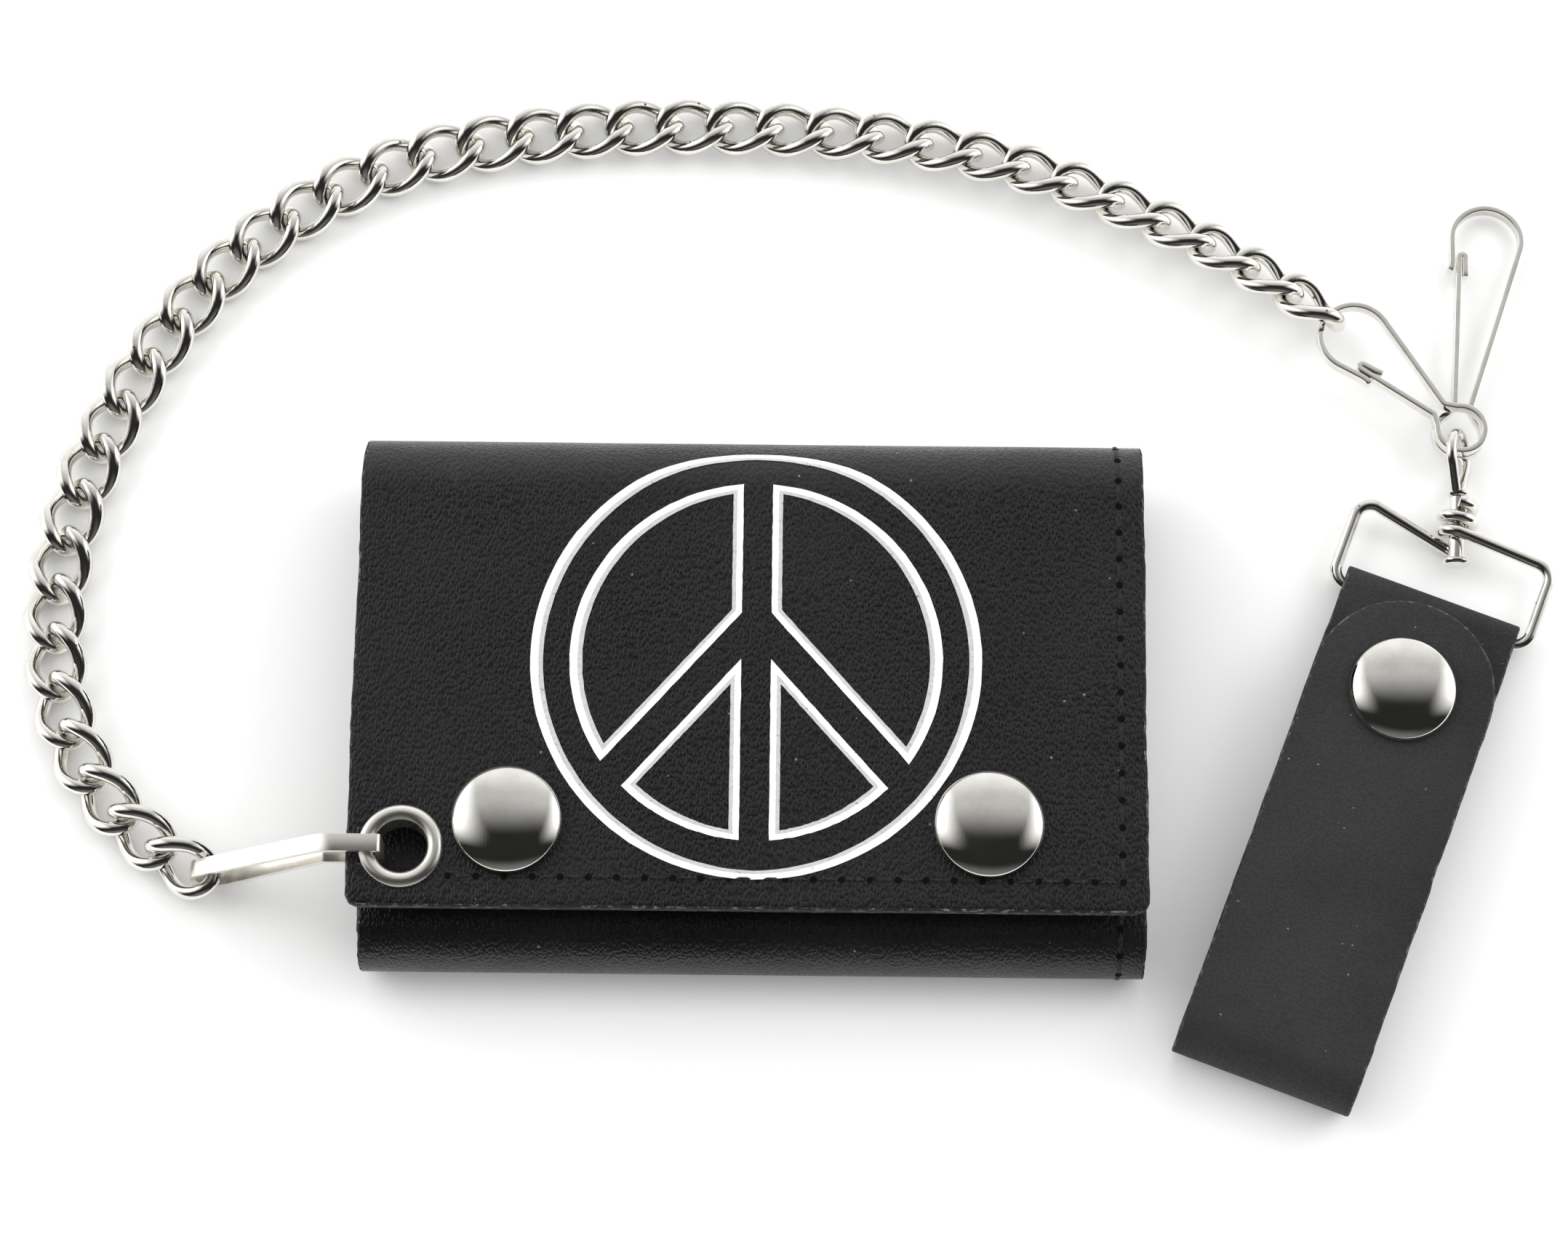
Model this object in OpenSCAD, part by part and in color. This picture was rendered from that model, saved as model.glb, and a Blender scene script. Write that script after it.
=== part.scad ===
// Chain wallet: a folded leather wallet with two press snaps, a curb chain, two strip
// clips on a wire swivel, and a leather belt strap that closes with a snap of its own.
// The wallet lies on its back. The origin is the middle of its back face, +Y points to
// the top fold and +Z away from the table.

/* [Wallet] */
// Width across the folded wallet
wallet_w = 108; // [98:1:118]
// Height from the top fold to the bottom fold
wallet_h = 75; // [68:1:84]
// Thickness of the closed wallet, without its snap caps
closed_t = 19; // [18:0.5:21]
// Thickness under the flap, over the folded front panel
body_t = 13; // [12:0.5:14]
// Thickness of the outer hide
hide_t = 1.7; // [1.4:0.1:2]
// Thickness of the lining leather
lining_t = 1; // [0.8:0.1:1.2]
// Bottom fold that shows below the flap
flap_setback = 6; // [4:0.5:8]
// Corner radius of the flap
flap_corner_r = 3; // [1:0.5:6]
// Reach of the front panel above its fold
front_l = 46; // [40:1:48]
// Depth of the rear card pocket
rear_pocket_l = 36; // [30:1:42]
// Depth of the front card pocket
front_pocket_l = 26; // [20:1:29]
// Thickness of the pocket leather
pocket_t = 0.8; // [0.6:0.1:1.2]
// Width of the thumb notch in each pocket
thumb_notch_w = 18; // [12:1:24]

/* [Snaps] */
// Diameter of a domed snap cap
cap_d = 15; // [13:0.5:16]
// Height of a snap cap
cap_h = 3; // [2.4:0.1:3.6]
// Rolled rim of a snap cap
cap_rim_d = 1.8; // [1.4:0.1:2]
// Diameter of a snap socket
socket_d = 12.4; // [11:0.2:13]
// Diameter of a snap stud
stud_d = 6; // [5:0.1:6.6]
// Thickness of a stud's base
stud_base_t = 0.6; // [0.4:0.1:0.8]
// Diameter of the posts that go through the leather
post_d = 4; // [3:0.1:4.4]
// Diameter of a post's inner head
post_head_d = 9; // [7:0.5:11]
// Room around a stud in its socket
snap_play = 0.4; // [0.3:0.05:0.6]
// Snap centres from the flap's side edges
snap_inset = 21.5; // [19:0.5:26]
// Snap centres above the flap's edge
snap_rise = 12; // [10:0.5:16]

/* [Grommet] */
// Diameter of the grommet's flange
grommet_d = 11.6; // [10.5:0.1:12.5]
// Diameter of the hole in the grommet
grommet_hole_d = 7.2; // [6.4:0.1:7.8]
// Height of the rounded flange
flange_t = 0.9; // [0.7:0.1:1.2]
// Wall of the grommet's barrel
barrel_t = 0.5; // [0.4:0.1:0.7]
// Thickness of the washer behind the leather
washer_t = 0.7; // [0.5:0.1:0.8]
// Grommet centre from the left edge
grommet_inset = 7.3; // [6.5:0.1:9]
// Grommet centre above the flap's edge
grommet_rise = 8.2; // [7:0.1:10]

/* [Connector] */
// Thickness of the connector's strip
strip_t = 0.8; // [0.6:0.1:1]
// Width of the connector's strip
strip_w = 2.4; // [2:0.1:2.6]
// Reach of the connector from the grommet to the chain
connector_l = 27; // [24:0.5:32]

/* [Chain] */
// Wire diameter of the curb links
wire_d = 2.1; // [1.9:0.05:2.3]
// Outer length of a link
link_l = 11.9; // [11.4:0.1:12.4]
// Outer width of a link
link_w = 9; // [8.6:0.1:9.6]
// Twist of each end of a link out of its middle plane
link_twist = 45; // [35:1:50]
// Length of the chain beyond the wallet's width
chain_slack = 168; // [150:1:190]
// Slack between two linked wires
link_play = 0.4; // [0.3:0.05:0.5]
// Single links next to the wallet that take up the flap's swing
lead_links = 10; // [8:2:12]

/* [Clips] */
// Thickness of the clips' strip
clip_t = 0.8; // [0.6:0.1:0.9]
// Height of the clips' strip
clip_h = 1.8; // [1.6:0.1:2]
// Eye to hook centre on the chain's clip
chain_clip_l = 20; // [18:0.5:24]
// Eye to hook centre on the spare clip
spare_clip_l = 29; // [26:0.5:33]
// Outer width of a clip's hook
hook_w = 10.8; // [10:0.1:12]
// Outer width of a clip's eye
eye_w = 7.6; // [7.2:0.1:8]
// Gap in the neck between the two limbs
neck_gap = 1.4; // [1:0.1:1.8]
// Straight end of the hook past its round top
hook_end_l = 5; // [4:0.5:7]
// Gap between the hook's end and the gate
gate_gap = 0.6; // [0.5:0.1:0.9]
// Lean of both clips' plane, down towards the spare clip
clip_lean = 3; // [0:1:4]

/* [Swivel and ring] */
// Wire diameter of the swivel eye
swivel_wire_d = 1.5; // [1.4:0.1:1.6]
// Inner width of the swivel eye
swivel_eye_w = 5.4; // [5.2:0.1:5.6]
// Shank to eye centre of the swivel
swivel_eye_l = 6; // [5.6:0.2:9]
// Lean of the swivel eye from upright
swivel_lean = 24; // [10:1:32]
// Slack of the swivel eye in the clips' eyes
swivel_slack = 0.8; // [0.3:0.1:1.2]
// Diameter of the swivel's shank
shank_d = 2.2; // [2:0.1:2.4]
// Diameter of the head that holds the shank
shank_head_d = 3.9; // [3.8:0.1:4.6]
// Thickness of that head
shank_head_t = 0.8; // [0.6:0.1:1]
// Thickness of the foot that joins the eye's two legs
foot_t = 0.9; // [0.7:0.1:1.2]
// Wire diameter of the ring
ring_wire_d = 1.7; // [1.5:0.05:1.8]
// Room for the strap's width in the ring
ring_play = 1.6; // [1.2:0.1:4]
// Ring bar to the ring's top
ring_l = 12.5; // [11.5:0.5:15]
// Bend radius of the ring's corners
ring_bend_r = 2.4; // [2:0.1:3]
// Turns of the ring's wire around the shank
ring_turns = 2; // [1:1:2]
// Gap between those turns
turn_gap = 0.5; // [0.45:0.05:0.7]
// Room between the turns and the shank
shank_play = 0.2; // [0.15:0.05:0.3]

/* [Belt strap] */
// Width of the strap
strap_w = 25.4; // [22:0.1:26]
// Length of the folded strap
strap_l = 75; // [68:1:84]
// Thickness of the strap leather
strap_t = 1.8; // [1.5:0.1:2]
// Length of the end that turns over the ring
turnover_l = 27; // [25:1:32]
// Snap centre from the tab's round end
belt_snap_inset = 13; // [11.5:0.5:15]
// Strap that shows above the tab's round end
tab_setback = 4; // [3:0.5:6]
// Thickness of the closed strap, without its snap cap
strap_closed_t = 10.4; // [10:0.2:11.6]

/* [Hidden] */
$fn = 64;
black_hide = [0.06, 0.06, 0.065];
charcoal_hide = [0.13, 0.13, 0.14];
inner_hide = [0.10, 0.09, 0.085];
nickel = [0.78, 0.78, 0.76];
steel = [0.70, 0.70, 0.69];

// Fits
slip = 0.05;
clear = 0.3;
hole_wall = 0.5;

// Levels and places in the wallet
half_w = wallet_w / 2;
top_r = closed_t / 2;
bottom_r = body_t / 2;
top_y = wallet_h / 2 - top_r;
bottom_y = bottom_r - wallet_h / 2;
flap_edge_y = flap_setback - wallet_h / 2;
flap_under_z = closed_t - hide_t - lining_t;
front_under_z = body_t - hide_t - lining_t;
lining_margin = 1;
pocket_margin = 4;
snap_x = half_w - snap_inset;
snap_y = flap_edge_y + snap_rise;
grommet_x = grommet_inset - half_w;
grommet_y = flap_edge_y + grommet_rise;
grommet_hole_r = grommet_hole_d / 2;
barrel_r = grommet_hole_r + barrel_t;
barrel_lip_t = 0.3;
barrel_lip_w = 0.5;

// Snaps
socket_plate_t = 0.7;
socket_edge_r = 0.6;
post_head_t = 0.6;
shank_r = post_d / 2 - 0.2;

// Connector
connector_top_z = closed_t + flange_t + clear + strip_t / 2;
connector_low_z = flap_under_z - washer_t - barrel_lip_t - clear - strip_t / 2;
connector_bar_x = grommet_x - grommet_hole_r + clear + strip_t / 2;
connector_bend_x = -half_w - hole_wall - strip_t / 2;
connector_end_x = grommet_x - connector_l;

// Chain links: an oval whose plane turns about its long axis
wire_r = wire_d / 2;
link_a = (link_l - wire_d) / 2;
link_b = (link_w - wire_d) / 2;
link_pitch = 2 * link_a - wire_d - link_play;
link_rings = 16;
wire_sides = 8;
function link_point(t) =
    let (v = link_b * sin(t), turn = -link_twist * cos(t))
    [link_a * cos(t), v * cos(turn), v * sin(turn)];
function link_normal(t) =
    let (turn = -link_twist * cos(t))
    [0, -sin(turn), cos(turn)];
// How far a link reaches below its centre when it is rolled about its length
function link_reach(roll) =
    wire_r + max([for (t = [0:5:355]) -link_point(t)[1] * sin(roll) - link_point(t)[2] * cos(roll)]);
// How deep a strip of width w sits in the round end of a link's hole
function seat_depth(w, a, b) = a * (1 - sqrt(1 - pow((w / 2 + clear / 2) / b, 2)));

// Route of the chain: heading, and roll of the links, by the distance along it. The chain
// rises beside the wallet, crosses above it and falls to the clips; the two ends are
// given in shares of the chain's slack
rise_at = [
    [0, 154], [0.095, 133], [0.16, 116], [0.225, 99], [0.31, 87], [0.38, 75], [0.45, 68],
    [0.58, 54], [0.71, 35], [0.845, 15], [0.94, 7], [1.06, 0]
];
fall_at = [[0.55, -5], [0.655, -14], [0.76, -23], [0.88, -29], [1, -37]];
route_l = wallet_w + chain_slack;
heading_at = concat(
    [for (k = rise_at) [k[0] * chain_slack, k[1]]],
    [for (k = fall_at) [wallet_w + k[0] * chain_slack, k[1]]]
);
roll_at = [[0, -48], [0.36 * chain_slack, 6], [wallet_w + 0.2 * chain_slack, 4], [route_l, -42]];
// Height of the links above the table, where the clips lift the chain's end
lift_at = [[0, 0], [wallet_w + 0.55 * chain_slack, 0], [route_l, 1.5]];
link_count = round(route_l / link_pitch);
run_links = 2;
run_count = floor((link_count - lead_links) / run_links);
last_link = lead_links + run_links * run_count;

// Centre of the connector's round end, and the first link's tip in it
connector_end = [connector_end_x, grommet_y, link_z(1)];
first_slant = strip_w / 2 * sin(180 - heading_at[0][1]);
connector_end_r = wire_r + first_slant + 3 * clear + strip_t / 2;
first_seat = seat_depth(strip_w, link_a - wire_r, link_b - wire_r) + clear + first_slant;
first_tip = connector_end - [connector_end_r, 0, 0]
    - (first_seat + wire_r + strip_t / 2) * along(heading_of(1));
function heading_of(i) = lookup((i - 0.5) * link_pitch, heading_at);
function roll_of(i) = lookup((i - 0.5) * link_pitch, roll_at);
function lift_of(i) = lookup((i - 0.5) * link_pitch, lift_at);
function link_z(i) = link_reach(roll_of(i)) + slip + lift_of(i);
function along(h) = [cos(h), sin(h), 0];
function ground(p, z) = [p[0], p[1], z];
// Centres of the links in order
function link_centres(i, place) =
    i > last_link ? [] : concat(
        [ground(place, link_z(i))],
        link_centres(i + 1, place + link_pitch / 2 * (along(heading_of(i)) + along(heading_of(i + 1))))
    );
centres = link_centres(1, first_tip + link_a * along(heading_of(1)));

// End of the chain: where the clip's hook sits in the last link
clip_heading = -43;
swivel_heading = -93;
ring_heading = -110.5;
lean_normal = sin(clip_lean) * along(clip_heading + 90) + [0, 0, cos(clip_lean)];
hook_r = (hook_w - clip_t) / 2;
eye_r = (eye_w - clip_t) / 2;
clip_step = (clip_h + clear) / 2;
last_seat = seat_depth(clip_h, link_a - wire_r, link_b - wire_r);
hook_apex = centres[last_link - 1]
    + (link_a - wire_r - last_seat - clip_t / 2) * along(heading_of(last_link));
// Directions in a clip's leaning plane
function lean_across(h) = let (s = cross(lean_normal, along(h))) s / norm(s);
function lean_along(h) = cross(lean_across(h), lean_normal);
chain_clip_eye = hook_apex + (hook_r + chain_clip_l) * lean_along(clip_heading);

// Swivel and ring lie on one line from the clips' eyes down to the strap
swivel_wire_r = swivel_wire_d / 2;
swivel_eye_r = swivel_eye_w / 2 + swivel_wire_r;
swivel_seat = swivel_eye_w / 2
    - sqrt(pow(swivel_eye_w / 2, 2) - pow((clip_h + clear) / cos(swivel_lean), 2));
eye_middle = chain_clip_eye - clip_step * lean_normal;
spare_clip_eye = eye_middle - clip_step * lean_normal;
spare_heading = 80;
swivel_top = eye_middle
    + (eye_r - clip_t / 2 - swivel_wire_r - swivel_seat - swivel_slack) * along(swivel_heading);
ring_wire_r = ring_wire_d / 2;
turn_r = shank_d / 2 + shank_play + ring_wire_r;
turn_pitch = ring_wire_d + turn_gap;
turns_l = ring_turns * turn_pitch;
ring_half_w = (strap_w + ring_play) / 2 + ring_wire_r;
// Along the swivel, from where the ring's top wire crosses it
swivel_yaw = swivel_heading - ring_heading;
shank_top_y = turns_l + ring_wire_r + clear;
shank_low_y = -1.5 * turn_pitch - ring_wire_r;
foot_y = shank_top_y + foot_t;
eye_y = shank_top_y + swivel_eye_l;
swivel_l = eye_y + swivel_eye_r;
bar_z = strap_t + ring_wire_r + clear / 2;
swivel_reach = ring_l + swivel_l * cos(swivel_yaw);
ring_rise = asin((swivel_top[2] - bar_z) / swivel_reach);
bar_place = ground(swivel_top, bar_z)
    - swivel_l * sin(swivel_yaw) * along(ring_heading - 90)
    + swivel_reach * cos(ring_rise) * along(ring_heading);

// Strap: the back run lies on the table, turns over the bar, and the tab closes on it
turn_in_r = ring_wire_r + clear / 2;
turn_out_r = turn_in_r + strap_t;
turnover_top_z = bar_z + turn_out_r;
strap_fold_r = strap_closed_t / 2;
strap_fold_y = turn_out_r - strap_l + strap_fold_r;
tab_top_y = turn_out_r - tab_setback;
tab_under_z = strap_closed_t - strap_t;
belt_snap_y = tab_top_y - belt_snap_inset;
wallet_snap_gap = flap_under_z - body_t;
belt_snap_gap = tab_under_z - turnover_top_z;

function numbered(name, n) = str(name, n < 10 ? "0" : "", n);
LINK_NODES = [for (i = [1:lead_links]) numbered("chain_link_", i)];
RUN_NODES = [for (i = [1:run_count]) numbered("chain_run_", i)];

// Helpers

function unit(v) = v / norm(v);

// A profile drawn in Y and Z, drawn out along X
module across_x(w) {
    rotate([90, 0, 90]) linear_extrude(height = w, center = true) children();
}

// A sheet of leather between two heights y, with rounded corners at its low edge
module sheet(w, y0, y1, z, t, r = 0) {
    translate([0, 0, z]) linear_extrude(height = t) difference() {
        translate([-w / 2, y0]) square([w, y1 - y0]);
        if (r > 0) for (side = [-1, 1]) difference() {
            translate([side * w / 2, y0]) square(2 * r, center = true);
            translate([side * (w / 2 - r), y0 + r]) circle(r);
            translate([side * (w / 2 - r) - r, y0 + r]) square([2 * r, r]);
            translate([side * (w / 2 - 2 * r) - r, y0]) square([2 * r, r]);
        }
    }
}

// Half of a bent sheet: outer radius r, round side towards +Y
module half_fold(r, t) {
    difference() {
        circle(r);
        circle(r - t);
        translate([-2 * r, -2 * r]) square([2 * r, 4 * r]);
    }
}

// A strip of thickness t from p to q, with round ends
module bar_2d(p, q, t) {
    d = q - p;
    translate(p) rotate(atan2(d[1], d[0])) translate([0, -t / 2]) square([norm(d), t]);
    translate(p) circle(t / 2);
    translate(q) circle(t / 2);
}

// A strip of thickness t along an arc from angle a0 to a1 about the origin
module arc_2d(r, t, a0, a1) {
    reach = 2 * r + t;
    steps = ceil((a1 - a0) / 60);
    fan = [for (i = [0:steps]) reach * [cos(a0 + (a1 - a0) * i / steps), sin(a0 + (a1 - a0) * i / steps)]];
    intersection() {
        difference() {
            circle(r + t / 2);
            circle(r - t / 2);
        }
        polygon(concat([[0, 0]], fan));
    }
}

// Normals carried along a path without twisting
function carried(tangents, n, i = 0) =
    i >= len(tangents) ? [] :
    let (m = unit(n - (n * tangents[i]) * tangents[i]))
    concat([m], carried(tangents, m, i + 1));

function path_tangents(p) =
    [for (i = [0:len(p) - 1]) unit(p[min(i + 1, len(p) - 1)] - p[max(i - 1, 0)])];

function tube_points(p, tangents, normals, r, sides) = [
    for (i = [0:len(p) - 1]) let (n = normals[i], m = cross(tangents[i], n))
    for (k = [0:sides - 1]) p[i] + r * (cos(360 * k / sides) * n + sin(360 * k / sides) * m)
];

function tube_sides(rings, sides, closed) = [
    for (i = [0:rings - (closed ? 1 : 2)]) for (k = [0:sides - 1])
    let (j = (i + 1) % rings, l = (k + 1) % sides,
         a = i * sides + k, b = i * sides + l, c = j * sides + l, d = j * sides + k)
    each [[a, d, c], [a, c, b]]
];

// A round wire along an open path
module wire_along(p, r, sides, normal) {
    tangents = path_tangents(p);
    points = tube_points(p, tangents, carried(tangents, normal), r, sides);
    last = (len(p) - 1) * sides;
    ends = [for (k = [1:sides - 2]) each [[0, k, k + 1], [last, last + k + 1, last + k]]];
    polyhedron(points, concat(tube_sides(len(p), sides, false), ends));
}

// Wallet

module back_leather() {
    color(black_hide) sheet(wallet_w, bottom_y, top_y, 0, hide_t);
}

module back_lining() {
    color(inner_hide)
        sheet(wallet_w - 2 * lining_margin, bottom_y, top_y, hide_t, lining_t);
}

module card_pocket(length, z) {
    w = wallet_w - 2 * pocket_margin;
    difference() {
        sheet(w, bottom_y + lining_margin, bottom_y + lining_margin + length, z, pocket_t);
        translate([0, bottom_y + lining_margin + length + thumb_notch_w / 4, z - 1])
            cylinder(h = pocket_t + 2, r = thumb_notch_w / 2);
    }
}

module card_pocket_rear() {
    color(inner_hide) card_pocket(rear_pocket_l, hide_t + lining_t);
}

module card_pocket_front() {
    color(inner_hide) card_pocket(front_pocket_l, hide_t + lining_t + pocket_t);
}

module top_fold() {
    color(black_hide) across_x(wallet_w) translate([top_y, top_r]) half_fold(top_r, hide_t);
}

module bottom_fold() {
    color(black_hide) across_x(wallet_w)
        translate([bottom_y, bottom_r]) mirror([1, 0]) half_fold(bottom_r, hide_t);
}

module at_snaps() {
    for (side = [-1, 1]) translate([side * snap_x, snap_y, 0]) children();
}

// Holes through the flap for the snap posts and the grommet
module flap_holes() {
    at_snaps() translate([0, 0, body_t]) cylinder(h = closed_t, r = post_d / 2 + slip);
    translate([grommet_x, grommet_y, body_t]) cylinder(h = closed_t, r = barrel_r + slip);
}

module flap_leather() {
    color(black_hide) difference() {
        sheet(wallet_w, flap_edge_y, top_y, closed_t - hide_t, hide_t, flap_corner_r);
        flap_holes();
    }
}

module flap_lining() {
    color(inner_hide) difference() {
        sheet(wallet_w - 2 * lining_margin, flap_edge_y + lining_margin, top_y,
            flap_under_z, lining_t, flap_corner_r);
        flap_holes();
    }
}

module front_holes() {
    at_snaps() cylinder(h = closed_t, r = shank_r + slip);
}

module front_leather() {
    color(black_hide) difference() {
        sheet(wallet_w, bottom_y, bottom_y + front_l, body_t - hide_t, hide_t);
        front_holes();
    }
}

module front_lining() {
    color(inner_hide) difference() {
        sheet(wallet_w - 2 * lining_margin, bottom_y, bottom_y + front_l - lining_margin,
            front_under_z, lining_t);
        front_holes();
    }
}

// Snaps

// A domed cap on the leather's face, with its post through a stack of leather
module snap_cap(stack) {
    rim_r = cap_rim_d / 2;
    dome_reach = cap_d / 2 - rim_r;
    dome_rise = cap_h - cap_rim_d;
    dome_r = (dome_reach * dome_reach + dome_rise * dome_rise) / (2 * dome_rise);
    rotate_extrude() {
        translate([dome_reach, rim_r]) circle(rim_r);
        square([dome_reach, cap_rim_d]);
        intersection() {
            translate([0, cap_h - dome_r]) circle(dome_r, $fn = 128);
            translate([0, cap_rim_d - slip]) square([dome_reach, cap_h]);
        }
        translate([0, -stack - socket_plate_t]) square([post_d / 2, stack + socket_plate_t + slip]);
    }
}

// A socket that hangs from the leather's under side and fills the gap above the stud's base
module snap_socket(gap) {
    h = gap - stud_base_t - clear;
    rotate_extrude() difference() {
        union() {
            translate([0, socket_edge_r - h]) square([socket_d / 2, h - socket_edge_r]);
            translate([0, -h]) square([socket_d / 2 - socket_edge_r, h]);
            translate([socket_d / 2 - socket_edge_r, socket_edge_r - h]) circle(socket_edge_r);
        }
        translate([-1, -h - 1]) square([stud_d / 2 + snap_play + 1, h + 1 - socket_plate_t]);
        translate([-1, -h - 1]) square([post_d / 2 + slip + 1, 2 * h + 2]);
    }
}

// A stud on the leather's face, with a waist below its round head
module snap_stud(gap) {
    h = gap - socket_plate_t - clear;
    head_r = (h - stud_base_t) * 0.4;
    rotate_extrude() {
        square([socket_d / 2, stud_base_t]);
        square([stud_d / 2 - head_r / 2, h]);
        translate([stud_d / 2 - head_r, h - head_r]) circle(head_r);
        square([stud_d / 2 - head_r, h]);
    }
}

// A post's head under the leather, with its shank up through a stack of leather
module snap_post(stack) {
    rotate_extrude() {
        translate([0, -post_head_t]) square([post_head_d / 2, post_head_t]);
        square([shank_r, stack]);
    }
}

module flap_snap_cap(side) {
    color(nickel) translate([side * snap_x, snap_y, closed_t]) snap_cap(hide_t + lining_t);
}

module flap_snap_socket(side) {
    color(steel) translate([side * snap_x, snap_y, flap_under_z]) snap_socket(wallet_snap_gap);
}

module front_snap_stud(side) {
    color(steel) translate([side * snap_x, snap_y, body_t]) snap_stud(wallet_snap_gap);
}

module front_snap_post(side) {
    color(steel) translate([side * snap_x, snap_y, front_under_z]) snap_post(hide_t + lining_t);
}

// Grommet and connector

module grommet_eyelet() {
    stack = hide_t + lining_t + washer_t;
    color(nickel) translate([grommet_x, grommet_y, closed_t]) rotate_extrude() {
        translate([grommet_hole_r, -stack - barrel_lip_t]) square([barrel_t, stack + barrel_lip_t + slip]);
        translate([grommet_hole_r, -stack - barrel_lip_t])
            square([barrel_t + barrel_lip_w, barrel_lip_t]);
        translate([grommet_hole_r + flange_t / 2, flange_t / 2]) circle(flange_t / 2);
        translate([grommet_hole_r, 0]) square([barrel_t, flange_t / 2]);
        translate([grommet_hole_r + flange_t / 2, 0])
            square([grommet_d / 2 - grommet_hole_r - 1.5 * flange_t, flange_t]);
        intersection() {
            translate([grommet_d / 2 - flange_t, 0]) circle(flange_t);
            translate([grommet_hole_r, 0]) square([grommet_d, grommet_d]);
        }
    }
}

module grommet_washer() {
    color(steel) translate([grommet_x, grommet_y, flap_under_z - washer_t]) difference() {
        cylinder(h = washer_t, r = grommet_d / 2);
        translate([0, 0, -1]) cylinder(h = washer_t + 2, r = barrel_r + slip);
    }
}

// Angle of the tangent point on a circle of radius r for a line from the offset d
function tangent_angle(d, r, side) = atan2(d[1], d[0]) + side * acos(r / norm(d));

// A flat strip bent into a closed loop: a bar in the grommet, two runs, and a round end
module connector() {
    end = [connector_end[0], connector_end[2]];
    top_bend = [connector_bend_x, connector_top_z];
    low_bend = [connector_bend_x, connector_low_z];
    top_bar = [connector_bar_x, connector_top_z];
    low_bar = [connector_bar_x, connector_low_z];
    top_a = tangent_angle(top_bend - end, connector_end_r, 1);
    low_a = tangent_angle(low_bend - end, connector_end_r, -1) + 360;
    color(nickel) translate([0, grommet_y + strip_w / 2, 0]) rotate([90, 0, 0])
        linear_extrude(height = strip_w) {
            bar_2d(top_bar, low_bar, strip_t);
            bar_2d(top_bar, top_bend, strip_t);
            bar_2d(low_bar, low_bend, strip_t);
            bar_2d(top_bend, end + connector_end_r * [cos(top_a), sin(top_a)], strip_t);
            bar_2d(low_bend, end + connector_end_r * [cos(low_a), sin(low_a)], strip_t);
            translate(end) arc_2d(connector_end_r, strip_t, top_a, low_a);
        }
}

// Chain

module curb_link() {
    step = 360 / link_rings;
    p = [for (i = [0:link_rings - 1]) link_point(i * step)];
    tangents = [for (i = [0:link_rings - 1]) unit(link_point(i * step + 1) - link_point(i * step - 1))];
    normals = [
        for (i = [0:link_rings - 1]) let (n = link_normal(i * step))
        unit(n - (n * tangents[i]) * tangents[i])
    ];
    polyhedron(tube_points(p, tangents, normals, wire_r, wire_sides),
        tube_sides(link_rings, wire_sides, true));
}

module placed_link(i) {
    color(nickel) translate(centres[i - 1]) rotate([0, 0, heading_of(i)]) rotate([roll_of(i), 0, 0])
        curb_link();
}

module chain_run(k) {
    for (i = [1:run_links]) placed_link(lead_links + (k - 1) * run_links + i);
}

// Clips

function arc_points(c, r, a0, a1, steps) =
    [for (i = [0:steps]) let (a = a0 + (a1 - a0) * i / steps) c + r * [cos(a), sin(a)]];

// A flat strip of thickness t along a path
module strip_2d(p, t) {
    tangents = path_tangents(p);
    left = [for (i = [0:len(p) - 1]) p[i] + t / 2 * [-tangents[i][1], tangents[i][0]]];
    right = [for (i = [len(p) - 1:-1:0]) p[i] + t / 2 * [tangents[i][1], -tangents[i][0]]];
    polygon(concat(left, right));
}

// A strip clip drawn from its eye at the origin towards +Y: gate, eye, limb and hook
module clip_2d(length) {
    neck = [(neck_gap + clip_t) / 2, eye_r + clip_t];
    eye_open = 38;
    shoulder = tangent_angle([neck[0], neck[1] - length], hook_r, 1);
    gate_foot = [-neck[0], neck[1]];
    hook_side = [0, length] + hook_r * [-cos(shoulder), sin(shoulder)];
    down = unit(gate_foot - hook_side);
    inward = [-down[1], down[0]];
    strip_2d(concat(
        [hook_side + hook_end_l / 2 * down + (clip_t + gate_gap) * inward, gate_foot],
        arc_points([0, 0], eye_r, 90 + eye_open, 450 - eye_open, 20),
        [neck],
        arc_points([0, length], hook_r, shoulder, 180 - shoulder, 18),
        [hook_side + hook_end_l * down]
    ), clip_t);
}

// Places a flat outline in the clips' leaning plane, its +Y along the heading h
module in_clip_plane(place, h) {
    x = -lean_across(h);
    y = lean_along(h);
    z = lean_normal;
    multmatrix([
        [x[0], y[0], z[0], place[0]],
        [x[1], y[1], z[1], place[1]],
        [x[2], y[2], z[2], place[2]],
        [0, 0, 0, 1]
    ]) translate([0, 0, -clip_h / 2]) linear_extrude(height = clip_h) children();
}

module chain_clip() {
    color(nickel) in_clip_plane(chain_clip_eye, clip_heading + 180) clip_2d(chain_clip_l);
}

module spare_clip() {
    color(nickel) in_clip_plane(spare_clip_eye, spare_heading) clip_2d(spare_clip_l);
}

// Ring, drawn from its bar at the origin towards the swivel in +Y
module in_ring() {
    translate(bar_place) rotate([0, 0, ring_heading + 90]) rotate([ring_rise, 0, 0]) children();
}

// Swivel, drawn from where the ring's top wire crosses its shank towards its eye in +Y
module in_swivel() {
    in_ring() translate([0, ring_l, 0]) rotate([0, 0, swivel_yaw]) children();
}

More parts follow.
